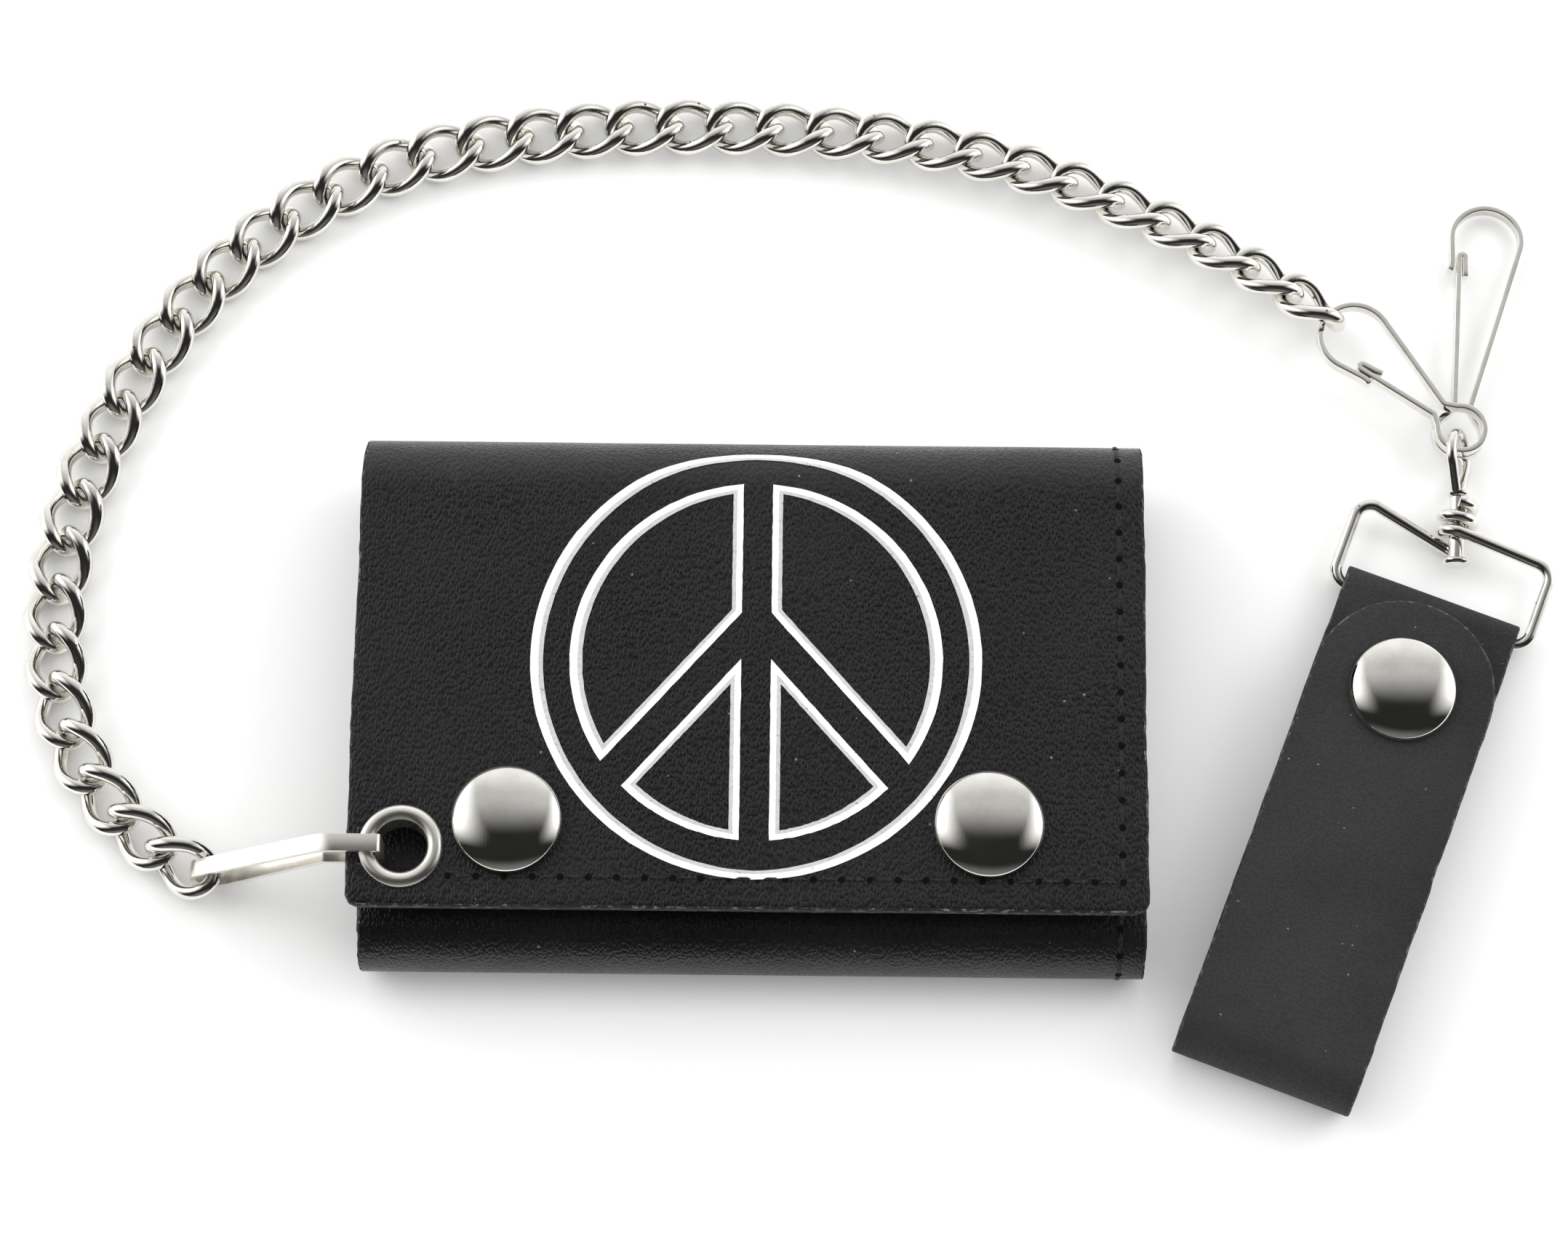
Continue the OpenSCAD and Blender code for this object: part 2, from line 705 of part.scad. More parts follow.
// A wire eye whose two legs stand in a foot on a headed shank
leg_x = swivel_wire_r + slip;
foot_r = leg_x + swivel_wire_r + slip;
leg_angle = tangent_angle([leg_x, foot_y - eye_y], swivel_eye_r, 1);
eye_wire = concat(
    [[leg_x, foot_y - foot_t / 2]],
    arc_points([0, eye_y], swivel_eye_r, leg_angle, 180 - leg_angle, 16),
    [[-leg_x, foot_y - foot_t / 2]]
);

module swivel_eye() {
    color(nickel) in_swivel() rotate([0, 90 - swivel_lean, 0]) {
        wire_along([for (p = eye_wire) [p[0], p[1], 0]], swivel_wire_r, wire_sides, [0, 0, 1]);
        translate([0, foot_y, 0]) rotate([90, 0, 0]) cylinder(h = foot_t, r = foot_r);
        translate([0, foot_y, 0]) rotate([90, 0, 0]) cylinder(h = foot_y - shank_low_y, r = shank_d / 2);
        translate([0, shank_low_y, 0]) rotate([90, 0, 0])
            cylinder(h = shank_head_t, r = shank_head_d / 2);
    }
}

// Points of a corner of the ring, from the side wire into a top wire
function corner_points(side) = [
    for (a = [0:15:90])
    [side * (ring_half_w - ring_bend_r * (1 - cos(a))), ring_l - ring_bend_r * (1 - sin(a)), 0]
];
turn_step = 22.5;
// Where the left wire crosses the shank, in turns below the right wire
hook_drop = 1.2;
// A point beside the shank, given across, along and above it
function by_shank(p) = [
    p[0] * cos(swivel_yaw) - p[1] * sin(swivel_yaw),
    ring_l + p[0] * sin(swivel_yaw) + p[1] * cos(swivel_yaw),
    p[2]
];
// The right wire passes over the shank and turns round it towards the eye
coil_points = [
    for (a = [0:turn_step:360 * ring_turns])
    by_shank([-turn_r * sin(a), turn_pitch * a / 360, turn_r * cos(a)])
];
// The left wire passes under the shank and hooks up behind the right wire
hook_points = [
    for (a = [0:turn_step:90]) by_shank([turn_r * sin(a), -turn_pitch * (hook_drop + a / 360), -turn_r * cos(a)])
];
right_wire = concat(corner_points(1), coil_points);
left_wire = concat(corner_points(-1), hook_points);
// The least gaps, measured on points: between turns, and between the two wires
function run_points(p, q) = [for (k = [0:0.1:1]) (1 - k) * p + k * q];
turn_gaps = [
    for (i = [0:len(coil_points) - 1]) for (j = [i + 8:1:len(coil_points) - 1])
    norm(coil_points[i] - coil_points[j]) - ring_wire_d
];
right_run = run_points(corner_points(1)[6], coil_points[0]);
left_run = run_points(corner_points(-1)[6], hook_points[0]);
wire_gaps = [
    for (p = concat(coil_points, right_run)) for (q = concat(hook_points, left_run))
    norm(p - q) - ring_wire_d
];

// A rectangle of wire whose ends turn round the shank; the bar is at the origin
module strap_ring() {
    echo(least_turn_gap = min(turn_gaps), least_wire_gap = min(wire_gaps));
    color(nickel) in_ring() {
        rotate([0, 90, 0]) cylinder(h = 2 * (ring_half_w - ring_bend_r), r = ring_wire_r, center = true);
        for (side = [-1, 1]) {
            translate([side * (ring_half_w - ring_bend_r), ring_bend_r, 0])
                rotate([0, 0, side > 0 ? 270 : 180])
                rotate_extrude(angle = 90) translate([ring_bend_r, 0]) circle(ring_wire_r);
            translate([side * ring_half_w, ring_bend_r, 0]) rotate([-90, 0, 0])
                cylinder(h = ring_l - 2 * ring_bend_r, r = ring_wire_r);
        }
        wire_along(right_wire, ring_wire_r, wire_sides, [1, 0, 0]);
        wire_along(left_wire, ring_wire_r, wire_sides, [1, 0, 0]);
    }
}

// Belt strap, drawn with the ring's bar above the origin and the strap towards -Y

module in_strap() {
    translate(ground(bar_place, 0)) rotate([0, 0, ring_heading + 90]) children();
}

// The back run, its turn over the bar, and the end that carries the stud
module strap_body() {
    color(charcoal_hide) in_strap() difference() {
        across_x(strap_w) {
            translate([strap_fold_y, 0]) square([-strap_fold_y, strap_t]);
            translate([0, bar_z]) half_fold(turn_out_r, strap_t);
            translate([-turnover_l, turnover_top_z - strap_t]) square([turnover_l, strap_t]);
        }
        translate([0, belt_snap_y, bar_z]) cylinder(h = strap_closed_t, r = shank_r + slip);
    }
}

module strap_fold() {
    color(charcoal_hide) in_strap() across_x(strap_w)
        translate([strap_fold_y, strap_fold_r]) mirror([1, 0]) half_fold(strap_fold_r, strap_t);
}

module strap_tab() {
    round_r = strap_w / 2;
    color(charcoal_hide) in_strap() difference() {
        translate([0, 0, tab_under_z]) linear_extrude(height = strap_t) {
            translate([-round_r, strap_fold_y]) square([strap_w, tab_top_y - round_r - strap_fold_y]);
            translate([0, tab_top_y - round_r]) circle(round_r);
        }
        translate([0, belt_snap_y, bar_z]) cylinder(h = strap_closed_t, r = post_d / 2 + slip);
    }
}

module belt_snap_cap() {
    color(nickel) in_strap() translate([0, belt_snap_y, strap_closed_t]) snap_cap(strap_t);
}

module belt_snap_socket() {
    color(steel) in_strap() translate([0, belt_snap_y, tab_under_z]) snap_socket(belt_snap_gap);
}

module belt_snap_stud() {
    color(steel) in_strap() translate([0, belt_snap_y, turnover_top_z]) snap_stud(belt_snap_gap);
}

module belt_snap_post() {
    color(steel) in_strap() translate([0, belt_snap_y, turnover_top_z - strap_t]) snap_post(strap_t);
}

back_leather();
back_lining();
card_pocket_rear();
card_pocket_front();
top_fold();
bottom_fold();
flap_leather();
flap_lining();
flap_snap_cap(-1);  // flap_snap_cap_left
flap_snap_cap(1);  // flap_snap_cap_right
flap_snap_socket(-1);  // flap_snap_socket_left
flap_snap_socket(1);  // flap_snap_socket_right
grommet_eyelet();
grommet_washer();
front_leather();
front_lining();
front_snap_stud(-1);  // front_snap_stud_left
front_snap_stud(1);  // front_snap_stud_right
front_snap_post(-1);  // front_snap_post_left
front_snap_post(1);  // front_snap_post_right
connector();
chain_clip();
spare_clip();
swivel_eye();
strap_ring();
strap_body();
strap_fold();
strap_tab();
belt_snap_cap();
belt_snap_socket();
belt_snap_stud();
belt_snap_post();
for (i = [1:lead_links]) placed_link(i);
for (k = [1:run_count]) chain_run(k);
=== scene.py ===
import bpy
import bmesh
from math import cos, sin, tan, pi, radians, degrees, sqrt, atan2, acos, asin, hypot, copysign
from mathutils import Vector, Matrix, noise


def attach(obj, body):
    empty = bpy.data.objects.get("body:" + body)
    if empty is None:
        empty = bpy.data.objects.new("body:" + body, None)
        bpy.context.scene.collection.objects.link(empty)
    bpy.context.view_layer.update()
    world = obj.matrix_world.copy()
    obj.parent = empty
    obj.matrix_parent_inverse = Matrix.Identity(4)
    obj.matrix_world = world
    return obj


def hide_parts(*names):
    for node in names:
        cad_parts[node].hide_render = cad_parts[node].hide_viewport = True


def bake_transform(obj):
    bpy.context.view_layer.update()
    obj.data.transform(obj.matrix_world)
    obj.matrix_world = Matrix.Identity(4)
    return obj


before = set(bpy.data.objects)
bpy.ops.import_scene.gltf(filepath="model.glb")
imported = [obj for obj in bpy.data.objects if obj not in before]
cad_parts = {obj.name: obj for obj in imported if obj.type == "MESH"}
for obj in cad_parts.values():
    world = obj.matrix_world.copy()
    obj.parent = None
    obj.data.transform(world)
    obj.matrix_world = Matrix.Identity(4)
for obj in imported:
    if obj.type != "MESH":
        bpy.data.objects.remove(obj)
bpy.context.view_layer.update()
scene = bpy.context.scene
scene.view_settings.view_transform = "Standard"
mm = 0.001  # pieces are drawn in millimetres and brought to metres in newPiece
print("frame loaded:", len(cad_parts), "nodes")


# small helpers

def freshObject(name, mesh):
    piece = bpy.data.objects.new(name, mesh)
    scene.collection.objects.link(piece)
    return piece


def newPiece(name, bm, materials, smooth=40):
    bmesh.ops.scale(bm, vec=(mm, mm, mm), verts=bm.verts)
    mesh = bpy.data.meshes.new(name)
    bm.to_mesh(mesh)
    bm.free()
    for m in materials:
        mesh.materials.append(m)
    mesh.shade_smooth()
    mesh.set_sharp_from_angle(angle=radians(smooth))
    return freshObject(name, mesh)


def bakeModifiers(piece):
    bpy.context.view_layer.update()
    seen = piece.evaluated_get(bpy.context.evaluated_depsgraph_get())
    mesh = bpy.data.meshes.new_from_object(seen)
    piece.modifiers.clear()
    old, piece.data = piece.data, mesh
    bpy.data.meshes.remove(old)
    mesh.name = piece.name


def thicken(piece, thickness, rimMaterial=0, roundOff=0.0):  # a sheet gets its wall and worn edges
    wall = piece.modifiers.new("wall", "SOLIDIFY")
    wall.thickness = thickness * mm
    wall.offset = 0.0
    wall.use_even_offset = True
    wall.material_offset_rim = rimMaterial
    if roundOff:
        edge = piece.modifiers.new("edge", "BEVEL")
        edge.width = roundOff * mm
        edge.segments = 3
        edge.limit_method = "ANGLE"
        edge.material = rimMaterial  # worn edges show the rim's colour
        edge.angle_limit = radians(40)
    bakeModifiers(piece)
    piece.data.shade_smooth()
    piece.data.set_sharp_from_angle(angle=radians(50))


def newVerts(geom):  # an operator hands back verts, edges and faces in one list
    return [g for g in geom if isinstance(g, bmesh.types.BMVert)]


def newEdges(geom):
    return [g for g in geom if isinstance(g, bmesh.types.BMEdge)]


def runOut(bm, edges, vec, steps):  # a straight run of sheet, drawn out from a row of edges
    for k in range(steps):
        geom = bmesh.ops.extrude_edge_only(bm, edges=edges)["geom"]
        fresh = set(newVerts(geom))
        bmesh.ops.translate(bm, verts=list(fresh), vec=Vector(vec) / steps)
        edges = [e for e in newEdges(geom) if e.verts[0] in fresh and e.verts[1] in fresh]
    return edges


def roundFold(bm, edges, y, z, angle, steps):  # the sheet turns about a line along X
    rows = list({v for e in edges for v in e.verts}) + list(edges)
    geom = bmesh.ops.spin(bm, geom=rows, cent=(0, y, z), axis=(1, 0, 0), dvec=(0, 0, 0),
                          angle=angle, steps=steps, use_duplicate=False)["geom_last"]
    return newEdges(geom)


def rowAcross(bm, x0, x1, y, z, cuts):  # the first row of edges of a sheet
    ends = [bm.verts.new((x, y, z)) for x in (x0, x1)]
    bm.edges.new(ends)
    bmesh.ops.subdivide_edges(bm, edges=bm.edges[:], cuts=cuts)
    return bm.edges[:]


def wireMesh(points, radius, closed=False):  # round wire along a line of points
    curve = bpy.data.curves.new("wire", "CURVE")
    curve.dimensions = "3D"
    curve.bevel_depth = radius
    curve.bevel_resolution = 4
    curve.use_fill_caps = True
    spline = curve.splines.new("POLY")
    spline.points.add(len(points) - 1)
    for p, q in zip(spline.points, points):
        p.co = (q[0], q[1], q[2], 1)
    spline.use_cyclic_u = closed
    holder = freshObject("wire", curve)
    bpy.context.view_layer.update()
    mesh = bpy.data.meshes.new_from_object(
        holder.evaluated_get(bpy.context.evaluated_depsgraph_get()))
    bpy.data.objects.remove(holder)
    bpy.data.curves.remove(curve)
    bm = bmesh.new()
    bm.from_mesh(mesh)
    bpy.data.meshes.remove(mesh)
    bmesh.ops.remove_doubles(bm, verts=bm.verts, dist=radius * 0.02)
    bmesh.ops.recalc_face_normals(bm, faces=bm.faces)
    return bm


def spunProfile(points, steps):  # points are (radius, height) about Z
    bm = bmesh.new()
    verts = [bm.verts.new((r, 0, z)) for r, z in points]
    for a, b in zip(verts, verts[1:]):
        bm.edges.new((a, b))
    bmesh.ops.spin(bm, geom=bm.verts[:] + bm.edges[:], cent=(0, 0, 0), axis=(0, 0, 1),
                   dvec=(0, 0, 0), angle=2 * pi, steps=steps, use_merge=True, use_duplicate=False)
    bmesh.ops.remove_doubles(bm, verts=bm.verts, dist=0.002)
    bmesh.ops.recalc_face_normals(bm, faces=bm.faces)
    return bm


def joinInto(bm, other, matrix=None):
    if matrix is not None:
        bmesh.ops.transform(other, matrix=matrix, verts=other.verts)
    mesh = bpy.data.meshes.new("part")
    other.to_mesh(mesh)
    other.free()
    bm.from_mesh(mesh)
    bpy.data.meshes.remove(mesh)


def arcPoints(cx, cy, r, a0, a1, steps):
    turns = [radians(a0 + (a1 - a0) * k / steps) for k in range(steps + 1)]
    return [Vector((cx + r * cos(a), cy + r * sin(a), 0)) for a in turns]


def lookUp(x, table):  # straight between the table's points, level outside them
    if x <= table[0][0]:
        return table[0][1]
    for (xa, ya), (xb, yb) in zip(table, table[1:]):
        if x <= xb:
            return ya + (yb - ya) * (x - xa) / (xb - xa)
    return table[-1][1]


def along(h):  # a heading on the table, in degrees
    return Vector((cos(radians(h)), sin(radians(h)), 0))


def basis(x, y, z, place):
    m = Matrix((x, y, z)).transposed().to_4x4()
    m.translation = place
    return m


# shader helpers

def newGroup(name, inputs, outputs):
    group = bpy.data.node_groups.new(name, "ShaderNodeTree")
    for label, kind, value in inputs:
        socket = group.interface.new_socket(name=label, in_out="INPUT", socket_type=kind)
        if value is not None:
            socket.default_value = value
    for label, kind in outputs:
        group.interface.new_socket(name=label, in_out="OUTPUT", socket_type=kind)
    return group, group.nodes.new("NodeGroupInput"), group.nodes.new("NodeGroupOutput")


class Wiring:  # nodes of one tree, joined as they are made
    def __init__(self, tree):
        self.tree = tree

    def node(self, kind, **sockets):  # set_ keys are settings, in0 and in1 are inputs by number
        n = self.tree.nodes.new(kind)
        for key, value in sockets.items():
            if key.startswith("set_"):
                setattr(n, key[4:], value)
        for key, value in sockets.items():
            if not key.startswith("set_"):
                self.feed(n.inputs[int(key[2:]) if key.startswith("in") and key[2:].isdigit()
                                   else key.replace("_", " ")], value)
        return n

    def feed(self, socket, value):
        if isinstance(value, bpy.types.NodeSocket):
            self.tree.links.new(value, socket)
        else:
            socket.default_value = value

    def maths(self, operation, a, b):
        return self.node("ShaderNodeMath", set_operation=operation, in0=a, in1=b).outputs[0]

    def fade(self, value, low, high, outLow=0.0, outHigh=1.0):
        return self.node("ShaderNodeMapRange", set_interpolation_type="SMOOTHSTEP", Value=value,
                         From_Min=low, From_Max=high, To_Min=outLow, To_Max=outHigh).outputs[0]

    def blend(self, factor, a, b):
        n = self.tree.nodes.new("ShaderNodeMix")
        n.data_type = "RGBA"
        self.feed(n.inputs["Factor"], factor)
        self.feed(n.inputs[6], a)
        self.feed(n.inputs[7], b)
        return n.outputs[2]

    def noise(self, vector, scale, detail=3.0, rough=0.55):
        return self.node("ShaderNodeTexNoise", Vector=vector, Scale=scale, Detail=detail,
                         Roughness=rough).outputs[0]

    def group(self, group, **sockets):
        n = self.tree.nodes.new("ShaderNodeGroup")
        n.node_tree = group
        for key, value in sockets.items():
            self.feed(n.inputs[key], value)
        return n


def newMaterial(name):
    material = bpy.data.materials.new(name)
    material.use_nodes = True
    tree = material.node_tree
    shader = tree.nodes["Principled BSDF"]
    return material, Wiring(tree), shader


def objectCoords(wire, stretch=(1, 1, 1), turn=(0, 0, 0)):
    place = wire.node("ShaderNodeTexCoord").outputs["Object"]
    return wire.node("ShaderNodeMapping", Vector=place, Scale=stretch, Rotation=turn).outputs[0]


def raised(wire, shader, strength, distance, height):
    bump = wire.node("ShaderNodeBump", Strength=strength, Distance=distance, Height=height)
    wire.feed(shader.inputs["Normal"], bump.outputs[0])


def fewDots(wire, place, scale, amount, size):  # a small share of the cells gets a dot
    seeds = wire.node("ShaderNodeTexVoronoi", set_feature="F1", Vector=place, Scale=scale)
    small = wire.fade(seeds.outputs["Distance"], 0.1, size, 1.0, 0.0)
    pick = wire.node("ShaderNodeSeparateColor", Color=seeds.outputs["Color"]).outputs[0]
    return wire.maths("MULTIPLY", small, wire.maths("LESS_THAN", pick, amount))


# pebbles of hide: creases between cells, broken by fine noise
grainGroup, gIn, gOut = newGroup("hideGrain",
    [("Vector", "NodeSocketVector", None), ("Scale", "NodeSocketFloat", 1500.0),
     ("Uneven", "NodeSocketFloat", 0.4)],
    [("Height", "NodeSocketFloat"), ("Crease", "NodeSocketFloat")])
w = Wiring(grainGroup)
stir = w.node("ShaderNodeTexNoise", Vector=gIn.outputs["Vector"], Scale=900.0, Detail=2.0)
shift = w.node("ShaderNodeVectorMath", set_operation="SCALE", in0=stir.outputs["Color"], Scale=0.0005)
bent = w.node("ShaderNodeVectorMath", set_operation="ADD", in0=gIn.outputs["Vector"],
              in1=shift.outputs[0]).outputs[0]
cells = w.node("ShaderNodeTexVoronoi", set_feature="SMOOTH_F1", Vector=bent,
               Scale=gIn.outputs["Scale"], Smoothness=0.35, Randomness=0.9).outputs["Distance"]
crease = w.fade(cells, 0.28, 0.72)
rise = w.noise(gIn.outputs["Vector"], 260.0, 4.0, 0.6)
w.feed(gOut.inputs["Crease"], crease)
swell = w.maths("MULTIPLY", rise, gIn.outputs["Uneven"])
w.feed(gOut.inputs["Height"], w.maths("SUBTRACT", swell, crease))

# lint and dust: sparse pale specks, and soft smudges for the gloss
dustGroup, gIn, gOut = newGroup("lintAndSmudge",
    [("Vector", "NodeSocketVector", None), ("Scale", "NodeSocketFloat", 700.0),
     ("Amount", "NodeSocketFloat", 0.1)],
    [("Speck", "NodeSocketFloat"), ("Smudge", "NodeSocketFloat")])
w = Wiring(dustGroup)
w.feed(gOut.inputs["Speck"], fewDots(w, gIn.outputs["Vector"], gIn.outputs["Scale"],
                                     gIn.outputs["Amount"], 0.26))
w.feed(gOut.inputs["Smudge"], w.noise(gIn.outputs["Vector"], 55.0, 4.0, 0.6))

# handled metal: fine drawn scratches, smudges and small pits
metalGroup, gIn, gOut = newGroup("handledMetal",
    [("Vector", "NodeSocketVector", None), ("Pits", "NodeSocketFloat", 0.06)],
    [("Scratch", "NodeSocketFloat"), ("Smudge", "NodeSocketFloat"), ("Pit", "NodeSocketFloat")])
w = Wiring(metalGroup)
drawn = w.node("ShaderNodeMapping", Vector=gIn.outputs["Vector"], Scale=(5200, 420, 900),
               Rotation=(0.3, 0.2, 0.7)).outputs[0]
w.feed(gOut.inputs["Scratch"], w.noise(drawn, 1.0, 2.0, 0.5))
w.feed(gOut.inputs["Smudge"], w.noise(gIn.outputs["Vector"], 240.0, 3.0, 0.6))
w.feed(gOut.inputs["Pit"], fewDots(w, gIn.outputs["Vector"], 900.0, gIn.outputs["Pits"], 0.25))


def hide(name, dark, pale, speck, gloss, grain, uneven, depth, specks, dust=1100.0, shine=0.4,
         stretch=(1, 1, 1), creaseShadeTone=0.55):
    material, wire, shader = newMaterial(name)
    place = objectCoords(wire, stretch)
    plain = objectCoords(wire)
    pebble = wire.group(grainGroup, Vector=place, Scale=grain, Uneven=uneven)
    lint = wire.group(dustGroup, Vector=plain, Scale=dust, Amount=specks)
    cloud = wire.fade(wire.noise(plain, 38.0, 3.0), 0.3, 0.7)
    base = wire.blend(cloud, (*dark, 1), (*pale, 1))
    rub = objectCoords(wire, (130, 34, 60), (0, 0, 0.25))
    scuff = wire.fade(wire.noise(rub, 1.0, 3.0, 0.6), 0.68, 0.82, 0.0, 0.5)  # long pale rubs
    base = wire.blend(scuff, base, tuple(c * 4 for c in pale) + (1,))
    # painted shade: the colour darkens in the grain's creases
    creaseShadedColour = wire.blend(wire.maths("MULTIPLY", pebble.outputs["Crease"], creaseShadeTone), base,
                         tuple(c * 0.4 for c in dark) + (1,))
    wire.feed(shader.inputs["Base Color"], wire.blend(lint.outputs["Speck"], creaseShadedColour, (*speck, 1)))
    worn = wire.fade(lint.outputs["Smudge"], 0.3, 0.7, gloss - 0.06, gloss + 0.08)
    dull = wire.maths("MULTIPLY", pebble.outputs["Crease"], 0.12)
    wire.feed(shader.inputs["Roughness"], wire.maths("ADD", worn, dull))
    raised(wire, shader, 0.5, depth, pebble.outputs["Height"])
    shader.inputs["Specular IOR Level"].default_value = shine
    return material


def fibreEdge(name, dark, pale, amount):
    material, wire, shader = newMaterial(name)
    fibres = wire.noise(objectCoords(wire, (900, 900, 2600)), 1.0, 4.0, 0.7)
    mask = wire.fade(fibres, 1.0 - amount - 0.12, 1.0 - amount + 0.1)
    wire.feed(shader.inputs["Base Color"], wire.blend(mask, (*dark, 1), (*pale, 1)))
    shader.inputs["Roughness"].default_value = 0.75
    raised(wire, shader, 0.6, 0.0002, fibres)
    return material


def plated(name, colour, gloss, spread, pits, scratchDepth):
    material, wire, shader = newMaterial(name)
    place = objectCoords(wire)
    worn = wire.group(metalGroup, Vector=place, Pits=pits)
    dull = (colour[0] * 0.62, colour[1] * 0.6, colour[2] * 0.56, 1)
    tint = wire.blend(wire.fade(worn.outputs["Smudge"], 0.35, 0.75, 0.0, 0.35), (*colour, 1), dull)
    wire.feed(shader.inputs["Base Color"], wire.blend(worn.outputs["Pit"], tint, (0.1, 0.09, 0.08, 1)))
    shader.inputs["Metallic"].default_value = 1.0
    handled = wire.fade(worn.outputs["Smudge"], 0.3, 0.75, gloss, gloss + spread)
    rusty = wire.maths("MULTIPLY", worn.outputs["Pit"], 0.3)
    wire.feed(shader.inputs["Roughness"], wire.maths("ADD", handled, rusty))
    raised(wire, shader, 0.25, scratchDepth, worn.outputs["Scratch"])
    return material


blackHide = hide("blackHide", dark=(0.0045, 0.0047, 0.005), pale=(0.0085, 0.0088, 0.0092),
                 speck=(0.16, 0.16, 0.155), gloss=0.28, grain=2100.0, uneven=0.2, depth=0.00014,
                 specks=0.012, shine=0.48, stretch=(1.3, 0.62, 1))
innerHide = hide("innerHide", dark=(0.02, 0.017, 0.015), pale=(0.034, 0.03, 0.027),
                 speck=(0.2, 0.19, 0.17), gloss=0.62, grain=1300.0, uneven=0.7, depth=0.00008,
                 specks=0.02)
strapHide = hide("strapHide", dark=(0.0185, 0.019, 0.0195), pale=(0.03, 0.0305, 0.0315),
                 speck=(0.2, 0.2, 0.195), gloss=0.7, grain=2600.0, uneven=0.9, depth=0.00006,
                 specks=0.02, dust=1500.0, shine=0.45, creaseShadeTone=0.24)
blackEdge = fibreEdge("blackEdge", dark=(0.012, 0.012, 0.013), pale=(0.19, 0.195, 0.19), amount=0.38)
strapEdge = fibreEdge("strapEdge", dark=(0.022, 0.022, 0.023), pale=(0.12, 0.12, 0.12), amount=0.42)
nickel = plated("nickel", (0.86, 0.845, 0.8), gloss=0.06, spread=0.08, pits=0.03, scratchDepth=0.00003)
brightNickel = plated("brightNickel", (0.86, 0.845, 0.8), gloss=0.045, spread=0.07, pits=0.0,
                      scratchDepth=0.00001)
satinNickel = plated("satinNickel", (0.97, 0.95, 0.885), gloss=0.24, spread=0.1, pits=0.0,
                     scratchDepth=0.00002)
steel = plated("steel", (0.62, 0.615, 0.6), gloss=0.2, spread=0.15, pits=0.06, scratchDepth=0.00004)


def printedInk(name, bright, worn):  # printed foil that shows the hide's pores in its relief, and is greyed in them as painted shade
    material, wire, shader = newMaterial(name)
    place = objectCoords(wire)
    pores = wire.group(grainGroup, Vector=place, Scale=1500.0, Uneven=0.4)
    rubbed = wire.fade(wire.noise(place, 1300.0, 3.0, 0.7), worn, worn + 0.12)
    grey = tuple(c * 0.7 for c in bright)
    # painted shade: the print greys in the hide's pores
    poreShadedInk = wire.blend(wire.maths("MULTIPLY", pores.outputs["Crease"], 0.25), (*bright, 1), (*grey, 1))
    wire.feed(shader.inputs["Base Color"], wire.blend(rubbed, poreShadedInk, (0.22, 0.22, 0.22, 1)))
    wire.feed(shader.inputs["Roughness"], wire.fade(wire.noise(place, 90.0), 0.3, 0.7, 0.32, 0.5))
    raised(wire, shader, 0.35, 0.0001, pores.outputs["Height"])
    return material


ink = printedInk("emblemInk", (0.87, 0.87, 0.87), worn=0.66)
# the inner part of each stroke is coloured greyer
innerGrey = printedInk("emblemThinInk", (0.56, 0.56, 0.565), worn=0.6)

thread, wire, shader = newMaterial("waxedThread")
strand = wire.noise(objectCoords(wire, (3800, 2600, 3800), (0, 0, 0.6)), 1.0, 2.0)
twist = wire.blend(wire.fade(strand, 0.35, 0.7), (0.006, 0.006, 0.0065, 1), (0.03, 0.03, 0.031, 1))
wire.feed(shader.inputs["Base Color"], twist)
wire.feed(shader.inputs["Roughness"], wire.fade(strand, 0.3, 0.7, 0.4, 0.65))
shader.inputs["Specular IOR Level"].default_value = 0.3
raised(wire, shader, 0.5, 0.0001, strand)

# painted shade: a near-black disc stands for the shaded inside of a needle hole
holeShade, wire, shader = newMaterial("needleHoleShade")
shade = wire.noise(objectCoords(wire), 2200.0)
wire.feed(shader.inputs["Base Color"], wire.blend(shade, (0.001,) * 3 + (1,), (0.006,) * 3 + (1,)))
shader.inputs["Roughness"].default_value = 0.9
shader.inputs["Specular IOR Level"].default_value = 0.1
print("materials made")


# wallet cover

wallet = dict(halfWidth=54.0, hide=1.7, topY=28.0, topR=9.5, bottomY=-31.0, bottomR=6.5,
              flapEdge=-31.5, frontEdge=15.0, corner=1.7, closed=19.0, rows=60, rollInset=1.2,
              rollFlat=4.0, worn=0.32, upperWave=0.16, lowerWave=0.1, edgeBand=2.5, sway=0.22,
              nick=0.13, flapAbove=15, panelAbove=11, sheet=0.6)
grommet = dict(x=-46.7, y=-23.3, hole=3.6, barrel=4.1, outer=5.8, flange=0.9, cut=4.9, edge=4.35,
               depth=3.4, curl=0.5, curlDepth=3.7)
snaps = dict(x=32.5, y=-19.5, capR=7.5, rim=0.45, rise=3.0, postR=2.0, postTip=0.7, stack=2.7,
             flapHole=(3.2, 2.2), panelHole=(2.6, 1.9))


def hideWave(p):  # the hide is never quite flat
    return noise.noise((p.x * 0.05, p.y * 0.05, p.z * 0.05 + 3.1))


def softHide(bm, amount):  # its cut edges wander too
    for v in bm.verts:
        v.co.z += amount * hideWave(v.co)
        if abs(v.co.x) > wallet["halfWidth"] - wallet["edgeBand"]:
            sway = noise.noise((5.0, v.co.y * 0.11, v.co.z * 0.2))
            nick = noise.noise((9.0, v.co.y * 0.7, v.co.z))
            v.co.x += wallet["sway"] * sway + wallet["nick"] * nick


